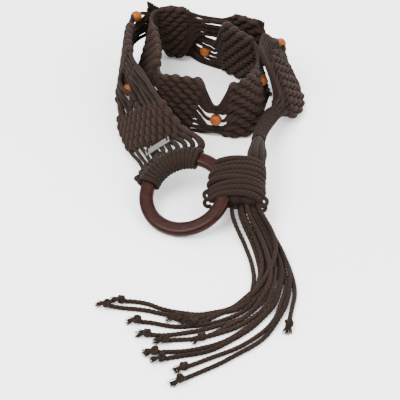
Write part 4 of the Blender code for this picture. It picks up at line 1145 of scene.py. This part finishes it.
# %% Beads
BEAD_STEPS = 32
top = math.acos(BEAD_HOLE / BEAD_RADIUS)
curve = np.linspace(-top, top, 18)
outside = np.stack([BEAD_RADIUS * np.cos(curve), BEAD_RADIUS * np.sin(curve)], axis=1)
bore_z = np.linspace(outside[-1][1], outside[0][1], 7)[1:-1]
profile = np.vstack([outside, np.stack([np.full(5, BEAD_HOLE), bore_z], axis=1)])
beaded = [waist for waist in WAISTS.values() if waist.bead is not None]
for number, waist in enumerate(beaded, start=1):
    s = run_at(waist.at)
    both_ways = np.array([s + BEAD_GAP, s - BEAD_GAP])
    ahead, behind = band_point(both_ways, waist.bead, waist.proud * 2 * BEAD_RADIUS)
    axis = unit(ahead - behind)
    side = unit(np.cross(axis, UP))
    upright = np.cross(side, axis)
    spin = np.arange(BEAD_STEPS) / BEAD_STEPS * math.tau
    spokes = side * np.cos(spin)[:, None] + upright * np.sin(spin)[:, None]
    rings = (ahead + behind) / 2 + spokes[:, None, :] * profile[None, :, :1]
    rings = rings + axis * profile[None, :, 1:]
    tube = Tube(rings, spin * BEAD_RADIUS, True, 0.5)
    names = [f"bead_{number}", f"bead_thread_{number}"]
    cord_piece(f"round_bead_{number}", [tube], BEAD_WOOD, names)

# %% Tag and its stitches
TAG_LENGTH, TAG_WIDTH, TAG_LIFT = 23.5 * MM, 4.6 * MM, 1.0 * MM
HOLE_X, HOLE_RADIUS = TAG_LENGTH / 2 - 1.8 * MM, 0.8 * MM
FLAT_SHARE, EYE_SHARE = 0.45, 0.55
tag_points = np.array([v.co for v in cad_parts["metal_tag"].data.vertices])
tag_middle = (tag_points.min(0) + tag_points.max(0)) / 2 - OFFSET
_, _, axes = np.linalg.svd(tag_points - tag_points.mean(0))
bar_along, bar_across = unit(axes[0]), unit(axes[1])
bar_out = np.cross(bar_along, bar_across)
if bar_out[2] < 0:
    bar_out, bar_across = -bar_out, -bar_across
to_eye = unit(np.array(camera.location) - OFFSET - tag_middle)
bar_out = unit(FLAT_SHARE * bar_out + EYE_SHARE * to_eye)
bar_out = unit(bar_out - bar_along * np.dot(bar_out, bar_along))
bar_across = np.cross(bar_out, bar_along)
tag_middle = tag_middle + bar_out * TAG_LIFT
stitches = []
for way in (-1, 1):
    hole = tag_middle + bar_along * way * HOLE_X
    arc = [(-0.6, 0.0), (0.5, 0.0), (1.0, 0.6), (1.05, 1.5), (0.9, 2.6), (0.0, 3.3), (-1.2, 3.4)]
    points = np.array([hole + bar_out * up * MM + bar_across * across * MM for up, across in arc])
    place = np.linspace(0, len(points) - 1, 30)
    points = np.stack([smooth(points[:, k], place) for k in range(3)], axis=1)
    stitches.append(sweep(points, 0.5 * MM, tone=0.2, sides=8))
cord_piece("tag_stitches", stitches, BELT_CORD)
outline = bpy.data.curves.new("tag_outline", "CURVE")
outline.dimensions, outline.fill_mode = "2D", "BOTH"
outline.extrude, outline.bevel_depth = 0.35 * MM, 0.15 * MM
edge_x, edge_y = TAG_LENGTH / 2, TAG_WIDTH / 2
shapes = [[(edge_x, edge_y), (-edge_x, edge_y), (-edge_x, -edge_y), (edge_x, -edge_y)]]
circle = [(math.cos(k / 16 * math.tau), math.sin(k / 16 * math.tau)) for k in range(16)]
for way in (-1, 1):
    shapes.append([(way * HOLE_X + HOLE_RADIUS * x, HOLE_RADIUS * y) for x, y in circle])
for shape in shapes:
    line = outline.splines.new("POLY")
    line.points.add(len(shape) - 1)
    line.use_cyclic_u = True
    for point, (x, y) in zip(line.points, shape):
        point.co = (x, y, 0, 1)
pattern = bpy.data.objects.new("tag_outline", outline)
tag_mesh = bpy.data.meshes.new_from_object(pattern)
bpy.data.objects.remove(pattern)
corners = np.array([v.co for v in tag_mesh.vertices])
placed = tag_middle + OFFSET + corners @ np.array([bar_along, bar_across, bar_out])
tag_mesh.vertices.foreach_set("co", placed.ravel())
tag_mesh.update()
tag_mesh.materials.clear()
tag_mesh.materials.append(METAL)
dress(bpy.data.objects.new("tag_bar", tag_mesh), ["metal_tag"])
